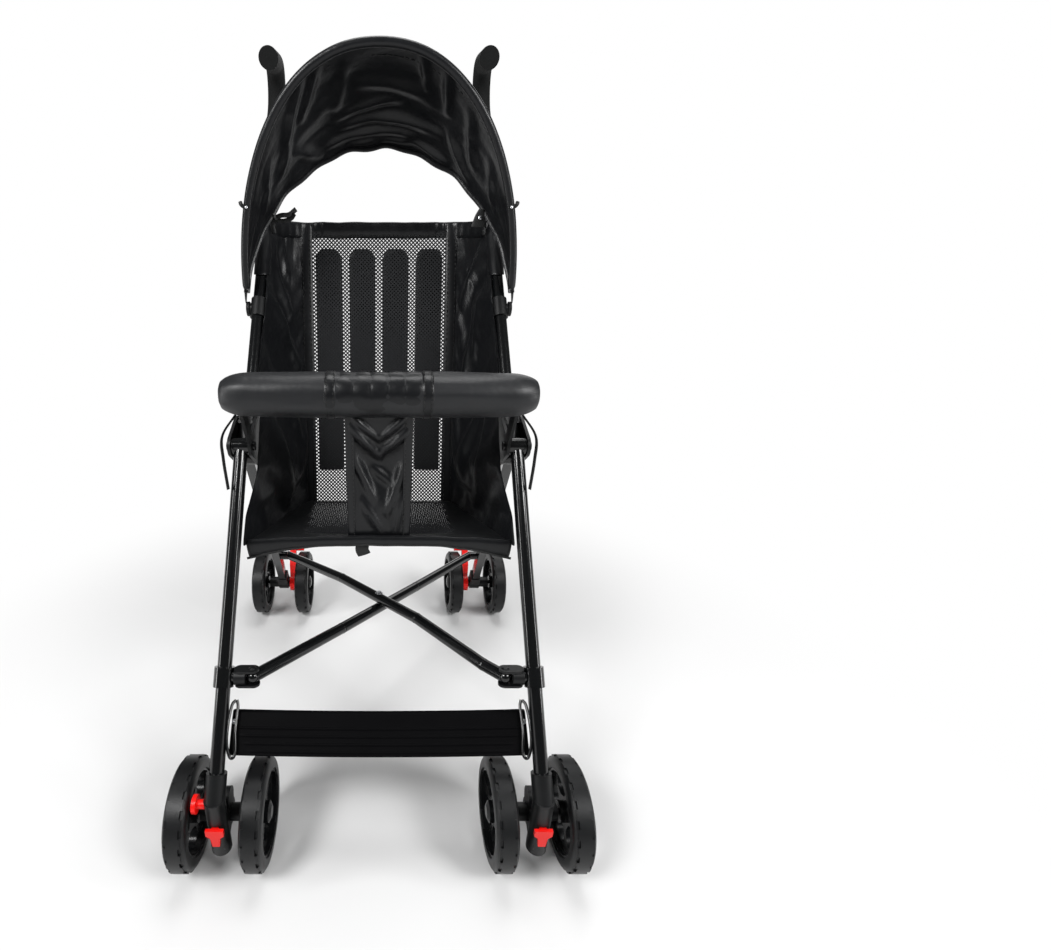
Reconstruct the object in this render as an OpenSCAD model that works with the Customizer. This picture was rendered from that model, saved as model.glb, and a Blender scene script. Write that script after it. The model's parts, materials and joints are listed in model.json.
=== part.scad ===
// Umbrella stroller with twin wheels, hook handles, a sling seat and a sun hood.
// Millimetres. +X is to the right of someone facing the stroller, +Y is towards the
// handles, +Z is up. The origin is on the floor, midway between the two axle lines.

/* [Overall] */
// Distance between the front and rear axle lines
wheelbase = 554; // [500:1:600]
// Distance between the two front swivel axes
front_track = 396; // [380:1:420]
// Distance between the middles of the two rear wheel pairs
rear_track = 420; // [400:1:450]
// Distance between the push tubes where the handles start to bend
handle_span = 320; // [300:1:340]
// Height at which the handles start to bend
handle_height = 928; // [890:1:980]
// Distance of that point behind the middle of the wheelbase
handle_back = 258; // [230:1:290]
// Height of the lower end of the push tubes
bracket_height = 480; // [460:1:500]

/* [Tubes] */
// Outer diameter of the push tubes and front legs
tube_d = 18; // [16:0.5:20]
// Wall of the round tubes
tube_wall = 1.5; // [1:0.1:2.5]
// Depth of the flat rear leg tube, seen from the side
rear_leg_depth = 20; // [16:0.5:24]
// Width of the flat rear leg tube, seen from behind
rear_leg_width = 14; // [12:0.5:16]
// Diameter of the cross tubes
cross_d = 16; // [14:0.5:18]

/* [Handles] */
// Radius of the handle bend
handle_bend_r = 36; // [32:1:42]
// Angle of the handle bend
handle_bend_angle = 135; // [120:1:145]
// Straight length after the bend
handle_straight = 52; // [40:1:60]
// Outer diameter of the foam grip
grip_d = 27; // [24:0.5:30]
// Length of tube that the grip covers below the bend
grip_below = 62; // [40:1:80]

/* [Wheels] */
// Diameter of every wheel
wheel_d = 134; // [126:1:142]
// Width of a tyre
tyre_w = 28; // [24:0.5:30]
// Distance between the middles of the two wheels of a pair
pair_width = 90; // [86:1:96]
// Depth of the tyre between its tread and its seat
tyre_depth = 16; // [13:0.5:18]
// Number of tread notches round each shoulder
tread_count = 20; // [16:1:24]
// Number of spokes
spoke_count = 5; // [4:1:6]
// Diameter of the axles
axle_d = 8; // [6:0.5:9]
// Distance of the front axle behind its swivel axis
caster_trail = 28; // [24:1:32]

/* [Bumper] */
// Diameter of the padded bumper bar
bumper_d = 54; // [48:1:58]
// Height of the bumper bar above the bracket
bumper_rise = 92; // [80:1:110]
// Distance of the bumper bar in front of the middle of the wheelbase
bumper_front = 118; // [108:1:130]
// Length of one half of the bumper pad
bumper_half = 190; // [180:1:200]

/* [Seat] */
// Height of the seat's front edge
seat_front_height = 372; // [362:1:382]
// Height of the seat where it meets the back
seat_rear_height = 345; // [335:1:355]
// Distance of the seat's front edge in front of the middle of the wheelbase
seat_front = 112; // [104:1:120]
// Distance of the foot of the back behind the middle of the wheelbase
seat_rear = 80; // [70:1:90]
// Height of the top of the back
back_height = 773; // [750:1:785]
// Distance of the top of the back behind the middle of the wheelbase
back_top = 186; // [180:1:196]
// Width of the back panel
back_w = 232; // [220:1:244]
// Thickness of the seat cloth
cloth_t = 4; // [3:0.5:5]

/* [Hood] */
// Height of the pivots of the hood
hood_pivot_height = 655; // [640:1:670]
// Reach of the hood's front edge from its pivots
hood_front_reach = 300; // [290:1:310]
// Reach of the hood's rear edge from its pivots
hood_rear_reach = 232; // [222:1:242]
// Thickness of the hood cloth
hood_t = 2.5; // [2:0.5:4]

/* [Hidden] */
$fn = 48;

// Clearances
run_gap = 0.05;
seat_gap = 0.3;
side_gap = 0.4;
fit_gap = 0.25;
overrun = 1;
bend_thin = 0.06;
slot_thin = 0.03;
sweep_up_shares = [0, 1, 0.3];

// Wheels and axles
wheel_r = wheel_d / 2;
axle_r = axle_d / 2;
front_axle_y = -wheelbase / 2;
rear_axle_y = wheelbase / 2;
swivel_y = front_axle_y - caster_trail;
swivel_x = front_track / 2;
rear_x = rear_track / 2;
rim_r = wheel_r - tyre_depth;
rim_w = 24;
hub_r = 13;
hub_cap_r = 15;
hub_cap_t = 3;
web_t = 10;
web_ring = 6;
window_gap_share = 0.14;
tread_depth = 2.2;
tread_len = 9;
tread_reach = 7;
tyre_round = 9;
axle_end_gap = 2;

// The line of the push tubes, from the front swivel to the handle bend
tube_r = tube_d / 2;
hook_turn = -5;
leg_foot_z = 120;
foot = [swivel_x, swivel_y, leg_foot_z];
head = [handle_span / 2, handle_back, handle_height];
tube_dir = (head - foot) / norm(head - foot);
tube_len_above = norm(head - tube_at(bracket_height));
tube_tilt = atan2(tube_dir[1], tube_dir[2]);
tube_lean = asin(tube_dir[0]);
forward = [0, -cos(tube_tilt), sin(tube_tilt)];
function tube_at(z) = foot + (head - foot) * (z - foot[2]) / (head[2] - foot[2]);

// The folding bracket and its two pivots
base_pt = tube_at(bracket_height);
bumper_height = bracket_height + bumper_rise;
pivot_offset = 26;
front_pivot = base_pt + forward * pivot_offset;
rear_pivot_back = 20;
rear_pivot_drop = 14;
rear_pivot = base_pt + [0, rear_pivot_back, -rear_pivot_drop];
bolt_r = 3;
bolt_head_r = 6;
bolt_head_t = 3;
eye_r = 11;
eye_w = 22;
cheek_t = 4;
cheek_r = 14;
cheek_in = eye_w / 2 + side_gap;
cheek_out = cheek_in + cheek_t;
sleeve_r = 12.5;
sleeve_from = 14;
sleeve_to = 74;
web_share = 0.8;
rear_foot = [rear_x, rear_axle_y, wheel_r];

// The bumper's hinge on the bracket's forward arm
bumper_inset = 8;
bumper_pivot = [base_pt[0] - cheek_out - bumper_inset, -bumper_front, bumper_height];
bumper_fold_angle = 66;
bumper_axis_tilt = 90 - bumper_fold_angle;
arm_r = 9;
bumper_rod_r = 7;
bumper_eye_r = 8;
bumper_eye_h = 16;
bumper_pin_r = 3;
bumper_lug_h = 10;
bumper_rod_end = 84;
bumper_cavity_r = 21.5;
bumper_cavity_from = 136;
bumper_cavity_to = 171;
bumper_split = 2;
bumper_crown = bumper_d / 36;
bumper_waist_r = bumper_d / 2 - bumper_crown;

// Front caster
socket_r = 12.5;
socket_bottom = 93;
socket_top = 126;
leg_sleeve_r = 12.5;
leg_sleeve_len = 34;
leg_end_gap = 12;
stem_r = 5;
stem_top = 114;
fork_stub_bottom = 40;
fork_w = 16;
fork_axle_r = 17;
fork_hump_z = 88;
fork_hump_r = 12;
fork_hump_back = 6;
boss_r = 11;
boss_gap = 1;
boss_half = pair_width / 2 - tyre_w / 2 - boss_gap;
tab_w = 22;
tab_t = 4;
tab_top = 91;
tab_bottom = 64;
tab_stem_w = 9;
tab_head_h = 13;
tab_rail = 3;
tab_travel = 4;
knob_z = 117;
knob_r = 11;
knob_t = 5;
knob_stem_r = 5.5;
knob_reach = 26;
knob_hold = 2;

// Rear foot and brake pedal
foot_boss_r = 14;
foot_half = 10;
pedal_ring_r = 19;
pedal_w = 13;
pedal_gap = 5;
pedal_arm_w = 11;
pedal_height = 84;
pedal_tip_back = 30;
pedal_plate_w = 30;
pedal_plate_t = 6;

// Cross tubes under the seat
cross_r = cross_d / 2;
clamp_z = 245;
lug_z = 185;
clamp_r = 12.5;
clamp_len = 24;
lug_r = 8;
lug_len = 14;
lug_gap = 1.2;
knuckle_len = 14;
knuckle_r = 10;
knuckle_pin_r = 4;
clevis_t = 3;
clevis_r = 8;
rivet_r = 3;
rivet_head_r = 5;
cross_layer = cross_r + seat_gap / 2;
cross_knee_share = 0.35;
cross_start_share = 0.14;
cross_bow = 6;
cross_bolt_r = 3.5;
knee_swell = 0.3;
front_leg_dir = (foot - front_pivot) / norm(foot - front_pivot);
rear_leg_dir = (rear_foot - rear_pivot) / norm(rear_foot - rear_pivot);
function mix(a, b, s) = a + (b - a) * s;
function point_at(a, b, z) = a + (b - a) * (a[2] - z) / (a[2] - b[2]);
function front_leg_at(z) = point_at(front_pivot, foot, z);
function rear_leg_at(z) = point_at(rear_pivot, rear_foot, z);
clamp_pt = front_leg_at(clamp_z);
lug_pt = rear_leg_at(lug_z);
knuckle_out = clamp_pt[0] - clamp_r - lug_gap;
knuckle_in = knuckle_out - knuckle_len;
cross_front = [knuckle_in - cross_r - side_gap, clamp_pt[1], clamp_pt[2]];
cross_rear = [lug_pt[0] - rear_leg_width / 2 - lug_len - lug_gap, lug_pt[1], lug_pt[2]];
cross_mid_share = cross_rear[0] / (cross_rear[0] + cross_front[0]);
cross_mid = [0, cross_rear[1] + (cross_front[1] - cross_rear[1]) * cross_mid_share,
    cross_rear[2] + (cross_front[2] - cross_rear[2]) * cross_mid_share];
cross_slope = atan2(cross_front[2] - cross_rear[2], cross_rear[1] - cross_front[1]);
cross_up = [0, sin(cross_slope), cos(cross_slope)];

// Footrest strip between the front legs
footrest_z = 163;
footrest_depth = 54;
footrest_t = 4;
footrest_slope = 42;
footrest_rib_t = 1.2;
footrest_rib_w = 3;
footrest_rib_count = 4;
footrest_pt = front_leg_at(footrest_z);
footrest_half = front_leg_at(footrest_z + footrest_depth)[0] - tube_r - seat_gap;
footrest_set_back = 4;

// Strap from the bumper's end to the front leg
strap_r = 2;
strap_sides = 8;
strap_rings = 10;
strap_bow = 9;
strap_leg_reach = 52.5;

// Hood pivots on the push tubes
hood_pt = tube_at(hood_pivot_height);
clip_r = 11.5;
clip_len = 28;
clip_boss_r = 8;
clip_reach = 12;
hood_pin_r = 4;
hood_pin_len = 5;
hood_hub_r = 10;
hood_hub_t = 4;
hood_half = hood_pt[0] + clip_reach + seat_gap + hood_hub_t / 2;
hood_front_angle = 95;
hood_rear_angle = 66;
hood_front_square = 2.2;
hood_rear_square = 1.75;
hood_col_count = 20;
hood_row_count = 10;
hood_start = 7;
bow_r = 2;
bow_inset = 2.5;
bow_first_share = 0.035;
bow_sides = 6;
bow_rings = 28;

// Storage catch on the left push tube
catch_len = 70;
catch_w = 11;
catch_t = 4;
catch_hook_r = 5;
catch_z = 796;
catch_pin_r = 2.5;
catch_boss_r = 5;
catch_boss_len = 2;

// Crotch strap
strap_w = 80;
strap_t = 4;
band_w = 126;
band_t = 2.5;

// Sheets of the seat
sheet_across = 10;
sheet_along = 10;
base_sag = 12;
back_sag = 9;
wing_fold = 5;
wing_folds = 3;
front_curve = 12;
wing_notch = 7.5;
wing_notch_reach = 45;

// Turns local +Z from point a towards point b, with local X kept level
module along(a, b) {
    d = b - a;
    translate(a) rotate([-atan2(d[1], d[2]), 0, 0]) rotate([0, asin(d[0] / norm(d)), 0]) children();
}

// A cylinder whose axis is parallel to X, centred on the origin
module x_cylinder(r, w) {
    rotate([0, 90, 0]) cylinder(r = r, h = w, center = true);
}

// Flat bar with round ends between two points of the YZ plane, in a drawing with Y across and Z up
module slot2d(a, b, r) {
    d = b - a;
    translate(a) circle(r);
    translate(b) circle(r);
    translate(a) rotate(atan2(d[1], d[0])) translate([0, slot_thin - r]) square([norm(d), 2 * (r -
        slot_thin)]);
}

// Extrudes a drawing of the YZ plane along X, from x0 to x1
module x_plate(x0, x1) {
    translate([x0, 0, 0]) rotate([90, 0, 90]) linear_extrude(x1 - x0) children();
}

function yz(p) = [p[1], p[2]];

// Draws the left piece as the mirror image of the right one
module on_side(side) {
    if (side > 0) children();
    else mirror([1, 0, 0]) children();
}

// Closed sheet through a grid of points, thickened by the vector t; rows run across
module sheet(grid, t) {
    rows = len(grid);
    cols = len(grid[0]);
    count = rows * cols;
    top = [for (row = grid) for (p = row) p + t / 2];
    low = [for (row = grid) for (p = row) p - t / 2];
    cells = [for (i = [0 : rows - 2]) for (j = [0 : cols - 2]) i * cols + j];
    upper = [for (c = cells) each [[c, c + cols, c + 1], [c + 1, c + cols, c + cols + 1]]];
    rim = concat([for (j = [0 : cols - 1]) j], [for (i = [1 : rows - 1]) i * cols + cols - 1],
        [for (j = [cols - 2 : -1 : 0]) (rows - 1) * cols + j], [for (i = [rows - 2 : -1 : 1]) i * cols]);
    lower = [for (f = upper) [f[0] + count, f[2] + count, f[1] + count]];
    wall = [for (k = [0 : len(rim) - 1]) let (a = rim[k], b = rim[(k + 1) % len(rim)])
        each [[a, b, b + count], [a, b + count, a + count]]];
    polyhedron(concat(top, low), concat(upper, lower, wall), 8);
}

// Round bar swept along a list of points, with its rings kept square to the path
module swept_bar(path, r, sides) {
    last = len(path) - 1;
    function tangent(i) = let (d = path[min(i + 1, last)] - path[max(i - 1, 0)]) d / norm(d);
    ring = [for (i = [0 : last]) let (t = tangent(i), u0 = cross(t, sweep_up_shares), u = u0 / norm(u0),
        v = cross(t, u))
        for (k = [0 : sides - 1]) path[i] + r * (cos(360 * k / sides) * u + sin(360 * k / sides) * v)];
    body = [for (i = [0 : last - 1]) for (k = [0 : sides - 1])
        let (a = i * sides + k, b = i * sides + (k + 1) % sides)
        each [[a, b + sides, b], [a, a + sides, b + sides]]];
    ends = [[for (k = [0 : sides - 1]) k], [for (k = [sides - 1 : -1 : 0]) last * sides + k]];
    polyhedron(ring, concat(body, ends), 8);
}

// A tube that follows the push tube, from a place below the bend to the end of the hook; bore 0 is solid
module handle_path(r, bore, below, straight) {
    translate([0, 0, -below]) pipe(r, bore, below);
    translate([0, -handle_bend_r, 0]) rotate([90, 0, 90])
        rotate_extrude(angle = handle_bend_angle) translate([handle_bend_r, 0])
            ring2d(r - bend_thin, bore > 0 ? bore + bend_thin : 0);
    translate([0, handle_bend_r * (cos(handle_bend_angle) - 1), handle_bend_r * sin(handle_bend_angle)])
        rotate([handle_bend_angle, 0, 0]) pipe(r, bore, straight);
}

module ring2d(r, bore) {
    difference() {
        circle(r);
        if (bore > 0) circle(bore);
    }
}

module pipe(r, bore, h) {
    linear_extrude(h) ring2d(r, bore);
}

module at_head() {
    translate(head) rotate([-tube_tilt, 0, 0]) rotate([0, tube_lean, 0]) rotate(hook_turn) children();
}

module push_tube(side) {
    color("#1b1c1e") on_side(side) {
        at_head() handle_path(tube_r, tube_r - tube_wall, tube_len_above - sleeve_from, handle_straight);
        if (side < 0) along(tube_at(catch_z), head) rotate([90, 0, 0]) translate([0, 0, tube_r -
            tube_wall / 2]) {
            cylinder(r = catch_boss_r, h = tube_wall / 2 + catch_boss_len);
            cylinder(r = catch_pin_r, h = tube_wall / 2 + catch_boss_len + catch_t + overrun);
        }
    }
}

module grip(side) {
    end_wall = (grip_d - tube_d) / 2;
    color("#18191a") on_side(side) at_head() {
        handle_path(grip_d / 2, tube_r + fit_gap, grip_below, handle_straight + fit_gap);
        translate([0, handle_bend_r * (cos(handle_bend_angle) - 1), handle_bend_r * sin(handle_bend_angle)])
            rotate([handle_bend_angle, 0, 0]) translate([0, 0, handle_straight + fit_gap])
                cylinder(r = grip_d / 2, h = end_wall);
    }
}

// Outline of the bracket's cheeks: both leg pivots and the foot of the push tube
module cheek2d() {
    top = base_pt + tube_dir * sleeve_to / 2;
    slot2d(yz(front_pivot), yz(top), cheek_r);
    slot2d(yz(rear_pivot), yz(top), cheek_r);
    slot2d(yz(front_pivot), yz(rear_pivot), cheek_r);
    polygon([yz(front_pivot), yz(top), yz(rear_pivot)]);
}

module bumper_arm2d(extra) {
    slot2d(yz(front_pivot), yz(bumper_pivot), arm_r + extra);
}

// Places children on the bumper's hinge, with local Z along the hinge axis
module at_bumper_hinge() {
    translate(bumper_pivot) rotate([-90 - bumper_axis_tilt, 0, 0]) children();
}

module bracket(side) {
    x = base_pt[0];
    color("#202123") on_side(side) difference() {
        union() {
            x_plate(x + cheek_in, x + cheek_out) cheek2d();
            x_plate(x - cheek_out, x - cheek_in) {
                cheek2d();
                bumper_arm2d(0);
            }
            along(base_pt, head) translate([0, 0, sleeve_from]) cylinder(r = sleeve_r, h = sleeve_to -
                sleeve_from);
            along(base_pt, head) translate([cheek_t / 2 - cheek_out, -cheek_r * web_share, sleeve_to / 2])
                cube([2 * cheek_out - cheek_t, 2 * cheek_r * web_share, cheek_t]);
            at_bumper_hinge() {
                translate([0, 0, bumper_eye_h / 2 + seat_gap]) cylinder(r = arm_r, h = bumper_lug_h);
                translate([0, 0, -bumper_eye_h / 2 - seat_gap])
                    cylinder(r = bumper_pin_r, h = bumper_eye_h + bumper_lug_h / 2);
            }
        }
        along(base_pt, head) translate([0, 0, -overrun]) cylinder(r = tube_r + fit_gap, h = sleeve_to + 2
            * overrun);
        for (p = [front_pivot, rear_pivot])
            translate(p) x_cylinder(bolt_r + run_gap / 2, 2 * cheek_out + overrun);
    }
}

module pivot_bolts(side) {
    color("#c9cbcd") on_side(side) for (p = [front_pivot, rear_pivot]) translate(p) {
        x_cylinder(bolt_r, 2 * cheek_out);
        for (s = [-1, 1]) translate([s * (cheek_out + bolt_head_t / 2), 0, 0]) x_cylinder(bolt_head_r,
            bolt_head_t);
    }
}

module front_leg(side) {
    span = norm(foot - front_pivot) - leg_end_gap;
    color("#1b1c1e") on_side(side) difference() {
        union() {
            along(front_pivot, foot) cylinder(r = tube_r, h = span);
            translate(front_pivot) x_cylinder(eye_r, eye_w);
            along(clamp_pt, foot) translate([0, 0, -clamp_len / 2]) cylinder(r = clamp_r, h = clamp_len);
            translate([(clamp_pt[0] + knuckle_in + overrun) / 2, clamp_pt[1], clamp_pt[2]])
                x_cylinder(knuckle_pin_r, clamp_pt[0] - knuckle_in - overrun);
            translate([(clamp_pt[0] + knuckle_out + seat_gap) / 2, clamp_pt[1], clamp_pt[2]])
                x_cylinder(knuckle_r - clevis_t, clamp_pt[0] - knuckle_out - seat_gap);
        }
        along(front_pivot, foot) translate([0, 0, eye_r]) cylinder(r = tube_r - tube_wall, h = span);
        translate(front_pivot) x_cylinder(bolt_r + run_gap, eye_w + overrun);
    }
}

module front_socket(side) {
    color("#26272a") on_side(side) difference() {
        union() {
            translate([swivel_x, swivel_y, socket_bottom]) cylinder(r = socket_r, h = socket_top -
                socket_bottom);
            along(foot, front_pivot) cylinder(r = leg_sleeve_r, h = leg_sleeve_len);
            translate([swivel_x, swivel_y, leg_foot_z]) sphere(socket_r);
        }
        along(foot, front_pivot) translate([0, 0, leg_end_gap - fit_gap])
            cylinder(r = tube_r + fit_gap, h = leg_sleeve_len);
        translate([swivel_x, swivel_y, socket_bottom - overrun])
            cylinder(r = stem_r + run_gap, h = stem_top - socket_bottom + 2 * overrun);
        if (side < 0) translate([swivel_x + socket_r, swivel_y, knob_z]) x_cylinder(knob_stem_r +
            run_gap, socket_r);
    }
}

// Slot in the front of the fork's stub that guides the release tab
module tab_slot() {
    low = tab_top - tab_head_h - tab_travel - overrun;
    translate([swivel_x - tab_stem_w / 2 - fit_gap, swivel_y - socket_r - overrun, low])
        cube([tab_stem_w + 2 * fit_gap, tab_rail + overrun + fit_gap, socket_bottom - low + overrun]);
}

// T-shaped tab in front of the fork's stub, with a rail that runs in the slot
module release_tab(side) {
    y = swivel_y - socket_r - fit_gap;
    color("#e0140f") on_side(side) union() {
        translate([swivel_x - tab_stem_w / 2, y - tab_t / 2, tab_top - tab_head_h])
            cube([tab_stem_w, tab_t / 2 + tab_rail, tab_head_h - overrun]);
        translate([swivel_x, y, 0]) rotate([90, 0, 0]) linear_extrude(tab_t)
            polygon([[-tab_w / 2, tab_top], [tab_w / 2, tab_top], [tab_w / 2, tab_top - tab_head_h * 2 / 3],
                [tab_stem_w * 2 / 3, tab_top - tab_head_h], [tab_stem_w / 2, tab_bottom],
                [-tab_stem_w / 2, tab_bottom], [-tab_stem_w * 2 / 3, tab_top - tab_head_h],
                [-tab_w / 2, tab_top - tab_head_h * 2 / 3]]);
    }
}

module swivel_knob(side) {
    color("#e0140f") on_side(side) translate([swivel_x, swivel_y, knob_z]) {
        translate([(socket_r - knob_hold + knob_reach) / 2, 0, 0])
            x_cylinder(knob_stem_r, knob_reach - socket_r + knob_hold);
        translate([knob_reach - knob_t / 2, 0, 0]) x_cylinder(knob_r, knob_t);
    }
}

// Swivelling fork: stem, slotted stub under the socket, rounded arm and the axle with its boss
module front_fork(side) {
    axle = [front_axle_y, wheel_r];
    color("#1a1b1c") on_side(side) difference() {
        union() {
            translate([swivel_x, swivel_y, fork_stub_bottom]) {
                cylinder(r = stem_r, h = stem_top - fork_stub_bottom);
                cylinder(r = socket_r, h = socket_bottom - seat_gap - fork_stub_bottom);
            }
            x_plate(swivel_x - fork_w / 2, swivel_x + fork_w / 2) {
                slot2d(axle, [front_axle_y + fork_hump_back, fork_hump_z], fork_hump_r);
                translate(axle) circle(fork_axle_r);
                slot2d(axle, [swivel_y, fork_stub_bottom + fork_hump_r + overrun], fork_hump_r - overrun);
            }
            translate([swivel_x, front_axle_y, wheel_r]) {
                x_cylinder(boss_r, 2 * boss_half);
                x_cylinder(axle_r, pair_width + tyre_w - 2 * axle_end_gap);
            }
        }
        tab_slot();
    }
}

// Tyre profile turned round the axle, with notches on both shoulders
module tyre(x, y) {
    half = tyre_w / 2;
    color("#171819") translate([x, y, wheel_r]) rotate([0, 90, 0]) difference() {
        rotate_extrude() difference() {
            union() {
                translate([rim_r + fit_gap, -half + tyre_round / 2])
                    square([tyre_depth - fit_gap, tyre_w - tyre_round]);
                translate([rim_r + fit_gap, -half]) square([tyre_depth - fit_gap - tyre_round, tyre_w]);
                for (s = [-1, 1]) translate([wheel_r - tyre_round, s * (half - tyre_round)])
                    circle(tyre_round);
            }
            for (s = [-1, 1]) translate([wheel_r - tyre_round / 4, s * half]) rotate(45)
                square(tyre_round / 2, center = true);
            translate([0, -tyre_w]) square([rim_r + fit_gap, 2 * tyre_w]);
        }
        for (k = [0 : tread_count - 1]) for (s = [-1, 1]) rotate(360 * (k + s / 4) / tread_count)
            translate([wheel_r - tread_depth, -tread_len / 2, s > 0 ? half - tread_reach : -half - overrun])
                cube([tread_depth + overrun, tread_len, tread_reach + overrun]);
    }
}

// Rim with a dished web, round-ended windows between the spokes, a hub and a closed hub cap
module rim(x, y, out) {
    window_r = (rim_r - web_ring - hub_r - web_ring) / 2;
    window_c = hub_r + web_ring + window_r;
    window_turn = 360 / spoke_count * window_gap_share / 2;
    color("#141516") translate([x, y, wheel_r]) rotate([0, 90 * out, 0]) difference() {
        union() {
            difference() {
                cylinder(r = rim_r, h = rim_w, center = true);
                for (s = [0, 1]) mirror([0, 0, s]) translate([0, 0, web_t / 2])
                    cylinder(r = rim_r - web_ring / 2, h = rim_w);
            }
            cylinder(r = hub_r, h = rim_w, center = true);
            translate([0, 0, rim_w / 2]) cylinder(r1 = hub_r, r2 = hub_cap_r / 2, h = hub_cap_t);
        }
        for (k = [0 : spoke_count - 1]) rotate(360 * k / spoke_count) {
            for (s = [-1, 1]) rotate(s * window_turn) translate([window_c, 0, 0])
                cylinder(r = window_r, h = web_t + overrun, center = true);
            translate([0, 0, -(web_t + overrun) / 2]) rotate(-window_turn)
                rotate_extrude(angle = 2 * window_turn) translate([window_c - window_r, 0])
                    square([2 * window_r, web_t + overrun]);
        }
        translate([0, 0, -rim_w / 2 - overrun]) cylinder(r = axle_r + run_gap, h = rim_w + overrun);
    }
}

module rear_leg(side) {
    span = norm(rear_foot - rear_pivot) - foot_boss_r;
    color("#1d1e20") on_side(side) difference() {
        union() {
            along(rear_pivot, rear_foot) translate([-rear_leg_width / 2, -rear_leg_depth / 2, 0])
                cube([rear_leg_width, rear_leg_depth, span]);
            translate(rear_pivot) x_cylinder(eye_r, eye_w);
            translate(lug_pt) translate([overrun / 2 - rear_leg_width / 2 - lug_len / 2, 0, 0])
                x_cylinder(lug_r, lug_len + overrun);
        }
        along(rear_pivot, rear_foot) translate([tube_wall - rear_leg_width / 2, tube_wall -
            rear_leg_depth / 2, eye_r])
            cube([rear_leg_width - 2 * tube_wall, rear_leg_depth - 2 * tube_wall, span]);
        translate(rear_pivot) x_cylinder(bolt_r + run_gap, eye_w + overrun);
    }
}

// Moulded foot of the rear leg, with the axle fixed in its boss
module rear_foot_piece(side) {
    grip_len = 2 * foot_boss_r;
    color("#1a1b1c") on_side(side) difference() {
        union() {
            translate(rear_foot) {
                x_cylinder(foot_boss_r, 2 * foot_half);
                x_cylinder(boss_r, 2 * boss_half);
                x_cylinder(axle_r, pair_width + tyre_w - 2 * axle_end_gap);
            }
            along(rear_foot, rear_pivot) translate([-foot_half, -rear_leg_depth / 2 - tube_wall, 0])
                cube([2 * foot_half, rear_leg_depth + 2 * tube_wall, grip_len + foot_boss_r]);
        }
        along(rear_foot, rear_pivot) translate([-rear_leg_width / 2 - fit_gap, -rear_leg_depth / 2 -
            fit_gap,
            foot_boss_r - fit_gap])
            cube([rear_leg_width + 2 * fit_gap, rear_leg_depth + 2 * fit_gap, grip_len + foot_boss_r]);
    }
}

// Brake pedal: a ring on the boss, a curved arm that rises between the wheels and a foot plate
module brake_pedal(side) {
    hub = [rear_axle_y, wheel_r];
    bend = hub + [pedal_tip_back / 8, pedal_height / 2];
    tip = hub + [pedal_tip_back, pedal_height];
    x1 = rear_x - foot_half - pedal_gap;
    x0 = x1 - pedal_w;
    color("#e0140f") on_side(side) union() {
        difference() {
            union() {
                x_plate(x0, x1) {
                    translate(hub) circle(pedal_ring_r);
                    slot2d(hub, bend, pedal_arm_w / 2);
                    slot2d(bend, tip, pedal_arm_w / 2);
                }
                x_plate(x1 - pedal_plate_w, x1) slot2d((bend + 2 * tip) / 3, tip, pedal_plate_t / 2);
            }
            translate([x0, hub[0], hub[1]]) x_cylinder(boss_r + run_gap, 4 * pedal_w);
        }
    }
}

// Places children at a point of the cross tubes' plane, with local Z square to that plane
module in_cross_plane(p) {
    translate(p) rotate([-cross_slope, 0, 0]) children();
}

// Knuckle: a sleeve that turns on the front leg's pin, with two ears and a rivet for the cross tube
module cross_knuckle(side) {
    color("#202123") on_side(side) difference() {
        union() {
            translate([(knuckle_in + knuckle_out) / 2, clamp_pt[1], clamp_pt[2]]) x_cylinder(knuckle_r,
                knuckle_len);
            in_cross_plane(cross_front) {
                for (s = [0, 1]) mirror([0, 0, s]) translate([0, 0, cross_r + side_gap])
                    linear_extrude(clevis_t)
                    slot2d([0, 0], [cross_r + knuckle_len / 2, 0], clevis_r);
                cylinder(r = rivet_r, h = 2 * (cross_r + side_gap), center = true);
                for (s = [0, 1]) mirror([0, 0, s]) translate([0, 0, cross_r + side_gap + clevis_t])
                    cylinder(r1 = rivet_head_r, r2 = rivet_r, h = clevis_t / 2);
            }
        }
        translate([(knuckle_in + knuckle_out) / 2, clamp_pt[1], clamp_pt[2]])
            x_cylinder(knuckle_pin_r + run_gap, knuckle_len + overrun);
    }
}

// Cross tube from a front knuckle to the opposite rear lug, bowed past the other tube at the middle
module cross_tube(side) {
    lift = cross_up * (cross_bow - cross_layer * side);
    front = [-cross_front[0], cross_front[1], cross_front[2]];
    rear = cross_rear + (cross_rear - cross_mid) * cross_r / cross_rear[0];
    mid = cross_mid + lift;
    knees = concat(side < 0 ? [mix(front, cross_mid, cross_start_share)] : [],
        [for (e = [front, cross_rear]) mid + (e - cross_mid) * cross_knee_share]);
    points = concat([front], knees, [rear]);
    color("#1b1c1e") on_side(side) difference() {
        union() {
            for (i = [0 : len(points) - 2]) along(points[i], points[i + 1])
                cylinder(r = cross_r, h = norm(points[i + 1] - points[i]));
            for (k = concat([front], knees)) translate(k) sphere(cross_r + knee_swell);
        }
        translate(cross_rear + [2 * cross_d, 0, 0]) cube(4 * cross_d, center = true);
        in_cross_plane(front) cylinder(r = rivet_r + run_gap, h = 4 * cross_d, center = true);
        if (side < 0) in_cross_plane(cross_mid + lift) cylinder(r = cross_bolt_r + run_gap, h = 4 * cross_d,
            center = true);
    }
}

// Rivet through the upper cross tube, its foot just above the lower one
module cross_bolt() {
    color("#c9cbcd") in_cross_plane(cross_mid) translate([0, 0, cross_bow + cross_layer - cross_r]) {
        cylinder(r = cross_bolt_r, h = 2 * cross_r + bolt_head_t);
        translate([0, 0, 2 * cross_r + seat_gap]) cylinder(r1 = bolt_head_r, r2 = bolt_head_r / 2, h =
            bolt_head_t);
    }
}

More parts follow.
